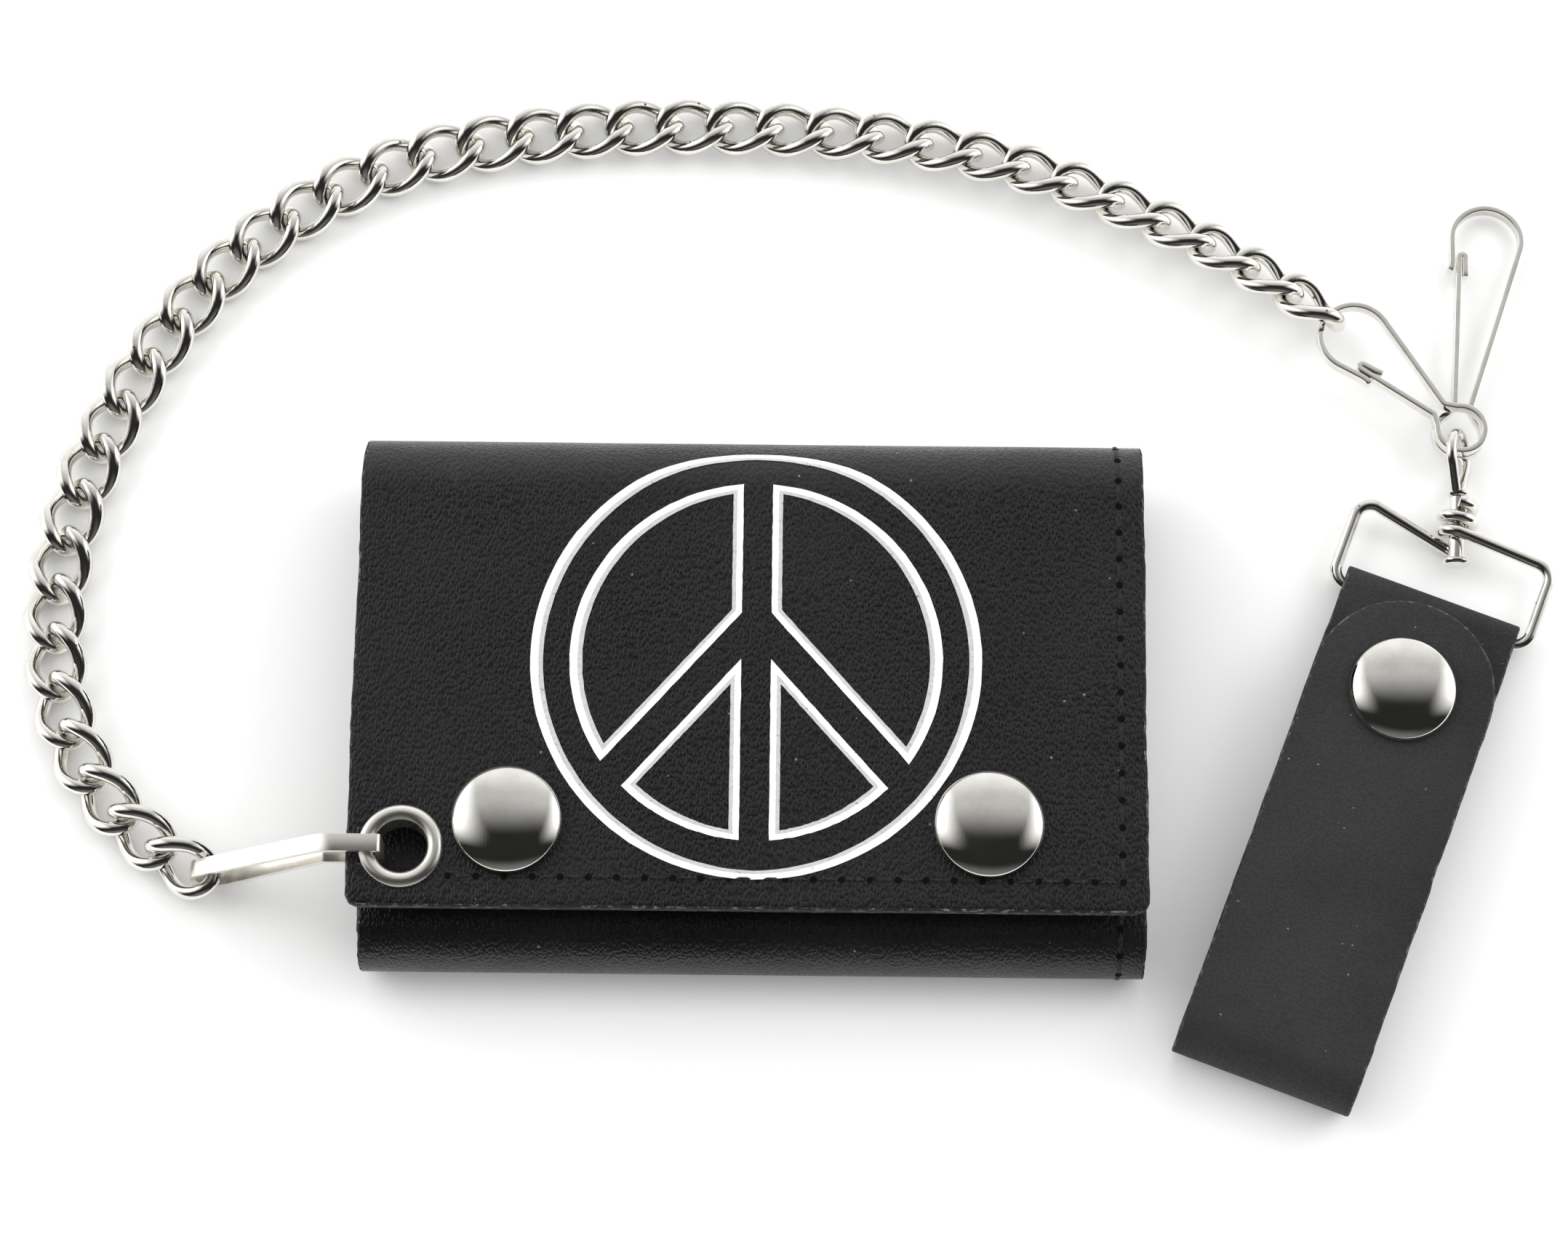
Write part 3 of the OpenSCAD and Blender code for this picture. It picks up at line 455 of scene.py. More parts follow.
def roundCorners(bm, x, y, r, z):  # the two low corners of a sheet at height z
    for v in bm.verts:
        if abs(v.co.z - z) > wallet["sheet"]:
            continue
        u, t = abs(v.co.x) - (x - r), (y + r) - v.co.y
        if u > 0 and t > 0:
            k = max(u, t) / hypot(u, t)
            v.co.x = copysign(x - r + u * k, v.co.x)
            v.co.y = y + r - t * k


def punchHole(bm, x, y, above, cut, edge):  # faces inside go, and the rim is pushed out to a circle
    middles = [(f, f.calc_center_median()) for f in bm.faces]
    gone = [f for f, m in middles if hypot(m.x - x, m.y - y) < cut and m.z > above]
    bmesh.ops.delete(bm, geom=gone, context="FACES")
    for v in bm.verts:
        d = hypot(v.co.x - x, v.co.y - y)
        if v.co.z > above and d < edge:
            v.co.x, v.co.y = x + (v.co.x - x) * edge / d, y + (v.co.y - y) * edge / d


half = wallet["hide"] / 2
bm = bmesh.new()
row = rowAcross(bm, -wallet["halfWidth"], wallet["halfWidth"], wallet["bottomY"], half,
                wallet["rows"])
row = runOut(bm, row, (0, wallet["topY"] - wallet["bottomY"], 0), steps=24)
row = roundFold(bm, row, wallet["topY"], wallet["topR"], pi, steps=26)
row = runOut(bm, row, (0, wallet["flapEdge"] - wallet["topY"], 0), steps=40)
roundCorners(bm, wallet["halfWidth"], wallet["flapEdge"], wallet["corner"],
             wallet["closed"] - half)
punchHole(bm, grommet["x"], grommet["y"], wallet["flapAbove"], grommet["cut"], grommet["edge"])
for side in (-1, 1):
    punchHole(bm, side * snaps["x"], snaps["y"], wallet["flapAbove"], *snaps["flapHole"])
softHide(bm, wallet["upperWave"])
bmesh.ops.recalc_face_normals(bm, faces=bm.faces)
cover = newPiece("cover_upper", bm, [blackHide, blackEdge])
thicken(cover, wallet["hide"], 1, wallet["worn"])
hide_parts("back_leather", "top_fold", "flap_leather")
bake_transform(cover)

bm = bmesh.new()
row = rowAcross(bm, -wallet["halfWidth"] + wallet["rollInset"], wallet["halfWidth"],
                wallet["bottomY"], half, wallet["rows"])
row = roundFold(bm, row, wallet["bottomY"], wallet["bottomR"], -pi, steps=22)
row = runOut(bm, row, (0, wallet["frontEdge"] - wallet["bottomY"], 0), steps=30)
for side in (-1, 1):
    punchHole(bm, side * snaps["x"], snaps["y"], wallet["panelAbove"], *snaps["panelHole"])
softHide(bm, wallet["lowerWave"])
bmesh.ops.recalc_face_normals(bm, faces=bm.faces)
roll = newPiece("cover_lower", bm, [blackHide, blackEdge])
thicken(roll, wallet["hide"], 1, wallet["worn"])
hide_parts("bottom_fold", "front_leather")
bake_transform(roll)
print("cover made")


# printed emblem and stitching lie on the cover's outer face

def waved(p, out, lift, amount):  # moves with the hide's middle under it
    return p + Vector((0, 0, amount * hideWave(p - out * (half + lift)))), out


def onCover(x, s, lift=0.0):  # s runs up the flap from its edge, round the fold, down the back
    flat = wallet["topY"] - wallet["flapEdge"]
    turn = pi * wallet["topR"]
    if s <= flat:
        p, out = Vector((x, wallet["flapEdge"] + s, wallet["closed"] + lift)), Vector((0, 0, 1))
    elif s <= flat + turn:
        a = (s - flat) / wallet["topR"]
        out = Vector((0, sin(a), cos(a)))
        p = Vector((x, wallet["topY"], wallet["topR"])) + out * (wallet["topR"] + lift)
    else:
        p, out = Vector((x, wallet["topY"] - (s - flat - turn), -lift)), Vector((0, 0, -1))
    return waved(p, out, lift, wallet["upperWave"])


def onRoll(x, s, lift=0.0):  # s runs down the roll from under the flap
    flat = wallet["rollFlat"]
    a = min(max(0.0, (s - flat) / wallet["bottomR"]), pi)
    out = Vector((0, -sin(a), cos(a)))
    p = Vector((x, wallet["bottomY"], wallet["bottomR"])) + out * (wallet["bottomR"] + lift)
    p.y += max(0.0, flat - s)
    return waved(p, out, lift, wallet["lowerWave"])


emblem = dict(x=0.8, s=34.9, outer=30.8, ring=(1.2, 0.55), arcR=25.45, arc=(1.15, 0.6), bar=2.02,
              barInk=1.4, slant=2.2, slantInk=1.3, spread=48.5, forkRise=5.75, rough=0.08, full=0.62,
              lift=0.07, film=0.08)


def inkBand(bm, outer, inner):  # outlines, bridged: a stroke's inner part gets the greyer material
    band = bmesh.new()
    rings = []
    for line in (outer, [a.lerp(b, emblem["full"]) for a, b in zip(outer, inner)], inner):
        verts = []
        for p in line:
            x, y = p.x * 1.7, p.y * 1.7
            shake = Vector((noise.noise((x, y, 2.0)), noise.noise((x, y, 7.0)), 0))
            verts.append(band.verts.new(p + emblem["rough"] * shake))
        rings.append([band.edges.new(pair) for pair in zip(verts, verts[1:] + verts[:1])])
    bmesh.ops.bridge_loops(band, edges=rings[0] + rings[1])
    for f in bmesh.ops.bridge_loops(band, edges=rings[1] + rings[2])["faces"]:
        f.material_index = 1
    joinInto(bm, band)


def byWeight(radius, weight, a):  # a printed ring is thinner at its top and bottom
    return radius - weight[0] - weight[1] * abs(cos(a))


def ringLine(radius, weight=None, count=120):
    angles = [2 * pi * k / count for k in range(count)]
    radii = [byWeight(radius, weight, a) if weight else radius for a in angles]
    return [Vector((r * cos(a), r * sin(a), 0)) for r, a in zip(radii, angles)]


def meetArc(start, way, weight):  # how far a line runs until it meets the arc
    low, high = 0.0, 60.0
    for k in range(40):
        middle = (low + high) / 2
        p = start + way * middle
        limit = byWeight(emblem["arcR"], weight, atan2(p.y, p.x))
        low, high = (middle, high) if p.length < limit else (low, middle)
    return start + way * low


def sectorLine(upper, side, inset):  # one field between the bar, a slanting arm and the arc
    e = emblem
    slope = radians(e["spread"])
    normal = Vector((sin(slope), cos(slope), 0))
    down = Vector((cos(slope), -sin(slope), 0))
    x = e["bar"] + (e["barInk"] if inset else 0)
    off = (e["slant"] + (e["slantInk"] if inset else 0)) * (1 if upper else -1)
    weight = e["arc"] if inset else (0, 0)
    inner = Vector((x, e["forkRise"] + (off - x * normal.x) / normal.y, 0))
    tip = meetArc(inner, down, weight)
    top = meetArc(Vector((x, 0, 0)), Vector((0, 1 if upper else -1, 0)), weight)
    a0, a1 = atan2(tip.y, tip.x), atan2(top.y, top.x)
    angles = [a0 + (a1 - a0) * k / 40 for k in range(41)]
    arc = [Vector((cos(a), sin(a), 0)) * byWeight(e["arcR"], weight, a) for a in angles]
    arm = [inner.lerp(tip, k / 24) for k in range(24)]
    bar = [top.lerp(inner, k / 24) for k in range(1, 24)]
    return [Vector((p.x * side, p.y, 0)) for p in arm + arc + bar]


printed = bmesh.new()
inkBand(printed, ringLine(emblem["outer"]), ringLine(emblem["outer"], emblem["ring"]))
for upper in (True, False):
    for side in (-1, 1):
        inkBand(printed, sectorLine(upper, side, False), sectorLine(upper, side, True))
for v in printed.verts:
    v.co = onCover(v.co.x + emblem["x"], v.co.y + emblem["s"], emblem["lift"])[0]
bmesh.ops.recalc_face_normals(printed, faces=printed.faces)
for f in printed.faces:
    if f.normal.z < 0:
        f.normal_flip()
emblemPiece = newPiece("emblem_print", printed, [ink, innerGrey])
thicken(emblemPiece, emblem["film"])
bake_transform(emblemPiece)
print("emblem made")

stitching = dict(pitch=3.85, inset=4.2, sideInset=3.55, threadR=0.36, threadRise=0.26, sunk=0.06,
                 length=3.1, holeR=0.5, holeLift=0.035, flapStart=-40.2, backStop=3, rollStart=1.5,
                 rollShare=0.8)


def stitchRow(bm, surface, points):  # one short thread and one needle hole, a dark disc of painted shade, for each step
    for (xa, sa), (xb, sb) in zip(points, points[1:]):
        pa, na = surface(xa, sa)
        pb = surface(xb, sb)[0]
        middle, up = surface((xa + xb) / 2, (sa + sb) / 2)
        way = (pb - pa).normalized()
        across = way.cross(up).normalized()
        up = across.cross(way)
        one = bmesh.new()
        bmesh.ops.create_uvsphere(one, u_segments=6, v_segments=6, radius=1.0)
        size = (stitching["threadR"], stitching["length"] / 2, stitching["threadRise"])
        bmesh.ops.scale(one, vec=size, verts=one.verts)
        joinInto(bm, one, basis(across, way, up, middle - up * stitching["sunk"]))
        # painted shade: the needle hole is a flat dark disc lying on the surface
        one = bmesh.new()
        bmesh.ops.create_circle(one, cap_ends=True, segments=8, radius=stitching["holeR"])
        for f in one.faces:
            f.material_index = 1
        acrossA = way.cross(na).normalized()
        joinInto(bm, one, basis(acrossA, na.cross(acrossA), na, pa + na * stitching["holeLift"]))


def evenSteps(start, end, fixed, pitch, vertical):
    count = max(1, round(abs(end - start) / pitch))
    line = [start + (end - start) * k / count for k in range(count + 1)]
    return [(fixed, s) for s in line] if vertical else [(x, fixed) for x in line]


seamX = wallet["halfWidth"] - stitching["sideInset"]
upLength = (wallet["topY"] - wallet["flapEdge"] + pi * wallet["topR"] + wallet["topY"]
            - wallet["bottomY"] - stitching["backStop"])
rollEnd = wallet["rollFlat"] + pi * wallet["bottomR"] * stitching["rollShare"]
seam = bmesh.new()
stitchRow(seam, onCover, evenSteps(stitching["inset"], upLength, seamX, stitching["pitch"], True))
stitchRow(seam, onCover, evenSteps(stitching["flapStart"], seamX, stitching["inset"],
                                   stitching["pitch"], False))
seamPiece = newPiece("seam_upper", seam, [thread, holeShade])
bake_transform(seamPiece)

seam = bmesh.new()
stitchRow(seam, onRoll, evenSteps(stitching["rollStart"], rollEnd, seamX, stitching["pitch"], True))
seamPiece = newPiece("seam_lower", seam, [thread, holeShade])
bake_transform(seamPiece)
print("stitching made")


# snaps and grommet, spun

def capProfile():  # a pressed dome that falls steeply at its rim
    r, rim, crown = snaps["capR"], snaps["rim"], snaps["rise"] - snaps["rim"]
    turns = [radians(t) for t in list(range(0, 80, 4)) + list(range(80, 91, 2))]
    dome = [(r * sin(a), rim + crown * cos(a)) for a in turns]
    return dome + [(r - 0.03, rim * 0.6), (r - 0.12, rim * 0.25), (r - 0.3, 0.0)]


def snapCap(name, node, body, place, stack):  # cap and post in one, down through its leather
    tip = -stack - snaps["postTip"]
    bm = spunProfile(capProfile() + [(snaps["postR"], 0.0), (snaps["postR"], tip), (0, tip)], 72)
    bmesh.ops.transform(bm, matrix=Matrix.Translation(place), verts=bm.verts)
    piece = newPiece(name, bm, [brightNickel], 50)
    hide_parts(node)
    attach(piece, body)


for label, side in (("left", -1), ("right", 1)):
    snapCap("cap_" + label, "flap_snap_cap_" + label, "flap",
            Vector((side * snaps["x"], snaps["y"], wallet["closed"])), snaps["stack"])

g = grommet
crest, spread = (g["hole"] + g["outer"]) / 2, (g["outer"] - g["hole"]) / 2
flange = [(crest + spread * cos(radians(t)), g["flange"] * sin(radians(t)))
          for t in range(180, -1, -10)]
curlR = g["barrel"] + g["curl"]
eyelet = flange + [(g["barrel"], 0.0), (g["barrel"], -g["depth"]), (curlR, -g["depth"]),
                   (curlR, -g["curlDepth"]), (g["hole"], -g["curlDepth"]), (g["hole"], 0.0)]
bm = spunProfile(eyelet, 64)
bmesh.ops.transform(bm, matrix=Matrix.Translation((g["x"], g["y"], wallet["closed"])),
                    verts=bm.verts)
eyeletPiece = newPiece("eyelet", bm, [satinNickel], 50)
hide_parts("grommet_eyelet")
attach(eyeletPiece, "flap")
print("snaps and grommet made")


# chain

chain = dict(a=4.9, b=3.45, wire=1.05, drawn=1.07, twist=45.0, pitch=7.3, lead=10, runs=14,
             points=40, slack=168.0, clear=0.05, seatSide=0.15,
             roll=[(0, -48), (60.48, 6), (141.6, 4), (276, -42)],
             lift=[(0, 0), (200.4, 0), (276, 1.5)])
riseAt = [(0, 154), (0.095, 133), (0.16, 116), (0.225, 99), (0.31, 87), (0.38, 75), (0.45, 68),
          (0.58, 54), (0.71, 35), (0.845, 15), (0.94, 7), (1.06, 0)]
fallAt = [(0.55, -5), (0.655, -14), (0.76, -23), (0.88, -29), (1, -37)]
chain["heading"] = ([(share * chain["slack"], h) for share, h in riseAt]
                    + [(2 * wallet["halfWidth"] + share * chain["slack"], h) for share, h in fallAt])


def linkPoint(t):  # an oval whose plane twists from end to end
    v = chain["b"] * sin(t)
    turn = radians(-chain["twist"]) * cos(t)
    return Vector((chain["a"] * cos(t), v * cos(turn), v * sin(turn)))


def linkValue(i, table):
    return lookUp((i - 0.5) * chain["pitch"], chain[table])


def linkHeight(i):
    roll = radians(linkValue(i, "roll"))
    points = [linkPoint(radians(t)) for t in range(0, 360, 5)]
    low = max(-p.y * sin(roll) - p.z * cos(roll) for p in points)
    return chain["wire"] + low + chain["clear"] + linkValue(i, "lift")


def innerSeat(width):  # how far in from a link's end a strip of this width comes to rest
    inside = (width / 2 + chain["seatSide"]) / (chain["b"] - chain["wire"])
    return (chain["a"] - chain["wire"]) * (1 - sqrt(1 - inside ** 2))


connector = dict(strip=0.8, width=2.4, topZ=20.6, lowZ=14.6, barX=-49.6, bendX=-57.4, endX=-73.7,
                 y=-23.3, play=0.9, seatPlay=0.3, lowBend=0.7, barBend=0.45, topBend=6.0, topSteps=9,
                 worn=0.14)
slant = connector["width"] / 2 * sin(radians(180 - chain["heading"][0][1]))
endR = chain["wire"] + slant + connector["play"] + connector["strip"] / 2
endZ = linkHeight(1)
seat = innerSeat(connector["width"]) + connector["seatPlay"] + slant
firstWay = along(linkValue(1, "heading"))
inFirst = seat + chain["wire"] + connector["strip"] / 2
tip = Vector((connector["endX"] - endR, connector["y"], 0)) - inFirst * firstWay
place = tip + chain["a"] * firstWay
centres = []
lastLink = chain["lead"] + 2 * chain["runs"]
for i in range(1, lastLink + 1):
    centres.append(Vector((place.x, place.y, linkHeight(i))))
    bothWays = along(linkValue(i, "heading")) + along(linkValue(i + 1, "heading"))
    place = place + chain["pitch"] / 2 * bothWays


def placedLink(i):
    loop = [linkPoint(2 * pi * k / chain["points"]) for k in range(chain["points"])]
    bm = wireMesh(loop, chain["drawn"], True)
    turn = (Matrix.Rotation(radians(linkValue(i, "heading")), 4, "Z")
            @ Matrix.Rotation(radians(linkValue(i, "roll")), 4, "X"))
    bmesh.ops.transform(bm, matrix=Matrix.Translation(centres[i - 1]) @ turn, verts=bm.verts)
    return bm


for i in range(1, chain["lead"] + 1):
    piece = newPiece("link_%02d" % i, placedLink(i), [nickel], 60)
    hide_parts("chain_link_%02d" % i)
    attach(piece, "link_%02d" % i)
for k in range(1, chain["runs"] + 1):
    bm = placedLink(chain["lead"] + 2 * k - 1)
    joinInto(bm, placedLink(chain["lead"] + 2 * k))
    piece = newPiece("link_pair_%02d" % k, bm, [nickel], 60)
    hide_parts("chain_run_%02d" % k)
    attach(piece, "run_%02d" % k)
print("chain made, last link at", [round(c, 2) for c in centres[-1]])


# bent strips: connector and clips

def bentStrip(path, width, closed=False):  # the path is drawn out across, and gets its wall later
    bm = bmesh.new()
    verts = [bm.verts.new((p.x, p.y, -width / 2)) for p in path]
    following = verts[1:] + verts[:1] if closed else verts[1:]
    edges = [bm.edges.new(pair) for pair in zip(verts, following)]
    geom = bmesh.ops.extrude_edge_only(bm, edges=edges)["geom"]
    bmesh.ops.translate(bm, verts=newVerts(geom), vec=(0, 0, width))
    bmesh.ops.recalc_face_normals(bm, faces=bm.faces)
    return bm


def tangentAngle(dx, dy, r, side):  # where a line from a point touches a circle
    return degrees(atan2(dy, dx)) + side * degrees(acos(r / hypot(dx, dy)))


def softCorner(a, b, c, r, steps=5):  # a bend of radius r at b
    u, v = (a - b).normalized(), (c - b).normalized()
    half = acos(max(-1, min(1, u.dot(v)))) / 2
    cut = r / tan(half)
    p, q = b + u * cut, b + v * cut
    return [p.lerp(b, t).lerp(b.lerp(q, t), t) for t in [k / steps for k in range(steps + 1)]]


c = connector
topBend, lowBend = Vector((c["bendX"], c["topZ"], 0)), Vector((c["bendX"], c["lowZ"], 0))
topBar, lowBar = Vector((c["barX"], c["topZ"], 0)), Vector((c["barX"], c["lowZ"], 0))
topA = tangentAngle(c["bendX"] - c["endX"], c["topZ"] - endZ, endR, 1)
lowA = tangentAngle(c["bendX"] - c["endX"], c["lowZ"] - endZ, endR, -1) + 360
loop = arcPoints(c["endX"], endZ, endR, topA, lowA, 24)
path = (loop + softCorner(loop[-1], lowBend, lowBar, c["lowBend"])
        + softCorner(lowBend, lowBar, topBar, c["barBend"])
        + softCorner(lowBar, topBar, topBend, c["barBend"])
        + softCorner(topBar, topBend, loop[0], c["topBend"], c["topSteps"]))
bm = bentStrip(path, c["width"], True)
stand = basis(Vector((1, 0, 0)), Vector((0, 0, 1)), Vector((0, -1, 0)), Vector((0, c["y"], 0)))
bmesh.ops.transform(bm, matrix=stand, verts=bm.verts)
piece = newPiece("connector_strip", bm, [satinNickel], 50)
thicken(piece, c["strip"], 0, c["worn"])
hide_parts("connector")
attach(piece, "connector")

clips = dict(strip=0.8, height=1.8, hookR=5.0, eyeR=3.4, eyeArc=(128, 412), neckGap=1.4, neckBend=0.9,
             hookEnd=5.0, gateGap=0.2, hem=3.0, hemBend=0.53, lip=[(1.3, 0), (0.6, 0.1), (0, 0.4)],
             stackGap=0.3, worn=0.14, chainLength=20.0, spareLength=30.8, lean=3.0, heading=-43.0,
             spareHeading=80.0)
leanAngle = radians(clips["lean"])
leanNormal = sin(leanAngle) * along(clips["heading"] + 90) + Vector((0, 0, cos(leanAngle)))


def leanAlong(h):  # the same heading in the clips' leaning plane
    across = leanNormal.cross(along(h)).normalized()
    return across.cross(leanNormal)


inLast = chain["a"] - chain["wire"] - innerSeat(clips["height"]) - clips["strip"] / 2
hookApex = centres[-1] + inLast * along(linkValue(lastLink, "heading"))
chainEye = hookApex + (clips["hookR"] + clips["chainLength"]) * leanAlong(clips["heading"])
step = (clips["height"] + clips["stackGap"]) / 2
eyeMiddle = chainEye - step * leanNormal
spareEye = eyeMiddle - step * leanNormal


def clipPath(length):  # gate, eye, limb and hook, from the eye at the origin towards +Y
    k = clips
    neck = Vector(((k["neckGap"] + k["strip"]) / 2, k["eyeR"] + k["strip"], 0))
    shoulder = tangentAngle(neck.x, neck.y - length, k["hookR"], 1)
    leftNeck = Vector((-neck.x, neck.y, 0))
    side = Vector((-k["hookR"] * cos(radians(shoulder)),
                   length + k["hookR"] * sin(radians(shoulder)), 0))
    down = (leftNeck - side).normalized()
    inward = Vector((-down.y, down.x, 0))
    gate = side + down * k["hookEnd"] / 2 + inward * (k["strip"] + k["gateGap"])
    fold = k["strip"] * k["hemBend"]
    bends = [pi * t / 8 for t in range(8)]
    hem = [gate + inward * 2 * fold + down * (fold + k["hem"] * (1 - t / 3)) for t in range(3)]
    hem += [gate + inward * fold * (1 + cos(a)) + down * fold * (1 - sin(a)) for a in bends]
    eye = arcPoints(0, 0, k["eyeR"], *k["eyeArc"], 28)
    hook = arcPoints(0, length, k["hookR"], shoulder, 180 - shoulder, 28)
    end = side + down * k["hookEnd"]
    lip = [end - down * back - inward * out for back, out in k["lip"]]
    limb = hook[0] - neck
    top = gate + down * fold
    return (hem + [top.lerp(leftNeck, t / 6) for t in range(6)]
            + softCorner(gate, leftNeck, eye[0], k["neckBend"]) + eye
            + softCorner(eye[-1], neck, hook[0], k["neckBend"])
            + [neck + limb * t / 6 for t in range(2, 6)] + hook + lip)


def stripClip(name, node, body, eye, heading, length):
    bm = bentStrip(clipPath(length), clips["height"])
    y = leanAlong(heading)
    x = y.cross(leanNormal)
    bmesh.ops.transform(bm, matrix=basis(x, y, leanNormal, eye), verts=bm.verts)
    piece = newPiece(name, bm, [nickel], 50)
    thicken(piece, clips["strip"], 0, clips["worn"])
    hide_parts(node)
    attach(piece, body)


stripClip("clip_on_chain", "chain_clip", "chain_clip", chainEye, clips["heading"] + 180,
          clips["chainLength"])
stripClip("clip_spare", "spare_clip", "spare_clip", spareEye, clips["spareHeading"],
          clips["spareLength"])
print("strips made")


# swivel and ring

swivel = dict(wire=0.75, eyeW=5.4, eyeL=6.0, lean=24.0, slack=0.8, shankR=1.1, shankPlay=0.3,
              headR=1.95, headT=0.8, headDrop=1.26, foot=0.9, legGap=0.05, heading=-93.0)
ring = dict(wire=0.85, halfW=14.35, length=12.5, bend=2.4, turns=2, turnGap=0.5, play=0.2,
            barPlay=0.15, heading=-110.5, hookDrop=1.05, hookTurn=40)
strap = dict(width=25.4, t=1.8, foldY=-67.0, foldR=5.2, turnOver=27.0, tabTop=-1.2, snapY=-14.2,
             closed=10.4, worn=0.3, backWave=0.08, frontWave=0.1, sway=0.12, nick=0.1)
barZ = strap["t"] + ring["wire"] + ring["barPlay"]
eyeRing = swivel["eyeW"] / 2 + swivel["wire"]
bothEyes = (clips["height"] + clips["stackGap"]) / cos(radians(swivel["lean"]))
eyeSeat = swivel["eyeW"] / 2 - sqrt((swivel["eyeW"] / 2) ** 2 - bothEyes ** 2)
inEyes = clips["eyeR"] - clips["strip"] / 2 - swivel["wire"] - eyeSeat - swivel["slack"]
swivelTop = eyeMiddle + inEyes * along(swivel["heading"])
turnPitch = 2 * ring["wire"] + ring["turnGap"]
turnR = swivel["shankR"] + ring["play"] + ring["wire"]
yaw = radians(swivel["heading"] - ring["heading"])
shankTop = ring["turns"] * turnPitch + ring["wire"] + swivel["shankPlay"]
shankLow = -swivel["headDrop"] * turnPitch - ring["wire"]
footY = shankTop + swivel["foot"]
eyeY = shankTop + swivel["eyeL"]
swivelL = eyeY + eyeRing
reach = ring["length"] + swivelL * cos(yaw)
rise = asin((swivelTop.z - barZ) / reach)
barPlace = (Vector((swivelTop.x, swivelTop.y, barZ)) - swivelL * sin(yaw) * along(ring["heading"] - 90)
            + reach * cos(rise) * along(ring["heading"]))
inRing = (Matrix.Translation(barPlace) @ Matrix.Rotation(radians(ring["heading"] + 90), 4, "Z")
          @ Matrix.Rotation(rise, 4, "X"))
inSwivel = (inRing @ Matrix.Translation((0, ring["length"], 0)) @ Matrix.Rotation(yaw, 4, "Z")
            @ Matrix.Rotation(radians(90 - swivel["lean"]), 4, "Y"))

legX = swivel["wire"] + swivel["legGap"]
footR = legX + swivel["wire"] + swivel["legGap"]
legA = tangentAngle(legX, footY - eyeY, eyeRing, 1)
legEnd = footY - swivel["foot"] / 2
eyeWire = ([Vector((legX, legEnd, 0))] + arcPoints(0, eyeY, eyeRing, legA, 180 - legA, 36)
           + [Vector((-legX, legEnd, 0))])
bm = wireMesh(eyeWire, swivel["wire"])
shankR, headR = swivel["shankR"], swivel["headR"]
footLow, headLow = footY - swivel["foot"], shankLow - swivel["headT"]
post = [(0, footY - 0.02), (footR - 0.25, footY - 0.02), (footR, footY - 0.25), (footR, footLow + 0.2),
        (footR - 0.2, footLow), (shankR, footLow), (shankR, shankLow), (headR - 0.15, shankLow),
        (headR, shankLow - 0.2), (headR, headLow + 0.25), (headR - 0.25, headLow), (0, headLow)]
joinInto(bm, spunProfile(post, 36), Matrix.Rotation(radians(-90), 4, "X"))
bmesh.ops.transform(bm, matrix=inSwivel, verts=bm.verts)
piece = newPiece("swivel_wire", bm, [nickel], 45)
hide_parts("swivel_eye")
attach(piece, "swivel")


def byShank(x, y, z):  # from the shank's own directions to the ring's
    return Vector((x * cos(yaw) - y * sin(yaw), ring["length"] + x * sin(yaw) + y * cos(yaw), z))


def ringCorner(side, top):  # a quarter bend of the wire
    bends = [radians(a) for a in range(0, 91, 10)]
    line = [(ring["halfW"] - ring["bend"] * (1 - cos(a)), ring["bend"] * (1 - sin(a))) for a in bends]
    return [Vector((side * x, ring["length"] - y if top else y, 0)) for x, y in line]


coil = [byShank(-turnR * sin(radians(a)), turnPitch * a / 360, turnR * cos(radians(a)))
        for a in range(0, 360 * ring["turns"] + 1, 12)]
hookEnd = [byShank(turnR * sin(radians(a)), -turnPitch * (ring["hookDrop"] + a / 360),
                   -turnR * cos(radians(a))) for a in range(0, ring["hookTurn"] + 1, 10)]
ringPath = (hookEnd[::-1] + ringCorner(-1, True)[::-1] + ringCorner(-1, False)
            + ringCorner(1, False)[::-1] + ringCorner(1, True) + coil)
bm = wireMesh(ringPath, ring["wire"])
bmesh.ops.transform(bm, matrix=inRing, verts=bm.verts)
piece = newPiece("ring_wire", bm, [nickel], 60)
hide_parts("strap_ring")
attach(piece, "ring")
print("swivel and ring made")


# belt strap

inStrap = (Matrix.Translation((barPlace.x, barPlace.y, 0))
           @ Matrix.Rotation(radians(ring["heading"] + 90), 4, "Z"))
halfStrap = strap["t"] / 2


def strapSurface(bm, amount):  # soft waves, and edges cut by hand
    for v in bm.verts:
        v.co.z += amount * noise.noise((v.co.x * 0.07, v.co.y * 0.07, v.co.z * 0.1 + 9.0))
        sway = noise.noise((v.co.x * 0.2, v.co.y * 0.16, 4.0))
        nick = noise.noise((v.co.x, v.co.y * 0.8, 6.0))
        v.co.x += strap["sway"] * sway + strap["nick"] * nick


bm = bmesh.new()
row = rowAcross(bm, -strap["width"] / 2, strap["width"] / 2, strap["foldY"], halfStrap, cuts=15)
row = runOut(bm, row, (0, -strap["foldY"], 0), steps=34)
row = roundFold(bm, row, 0, barZ, pi, steps=16)
row = runOut(bm, row, (0, -strap["turnOver"], 0), steps=16)
strapSurface(bm, strap["backWave"])
bmesh.ops.recalc_face_normals(bm, faces=bm.faces)
bmesh.ops.transform(bm, matrix=inStrap, verts=bm.verts)
piece = newPiece("strap_back", bm, [strapHide, strapEdge])
thicken(piece, strap["t"], 1, strap["worn"])
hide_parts("strap_body")
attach(piece, "strap")

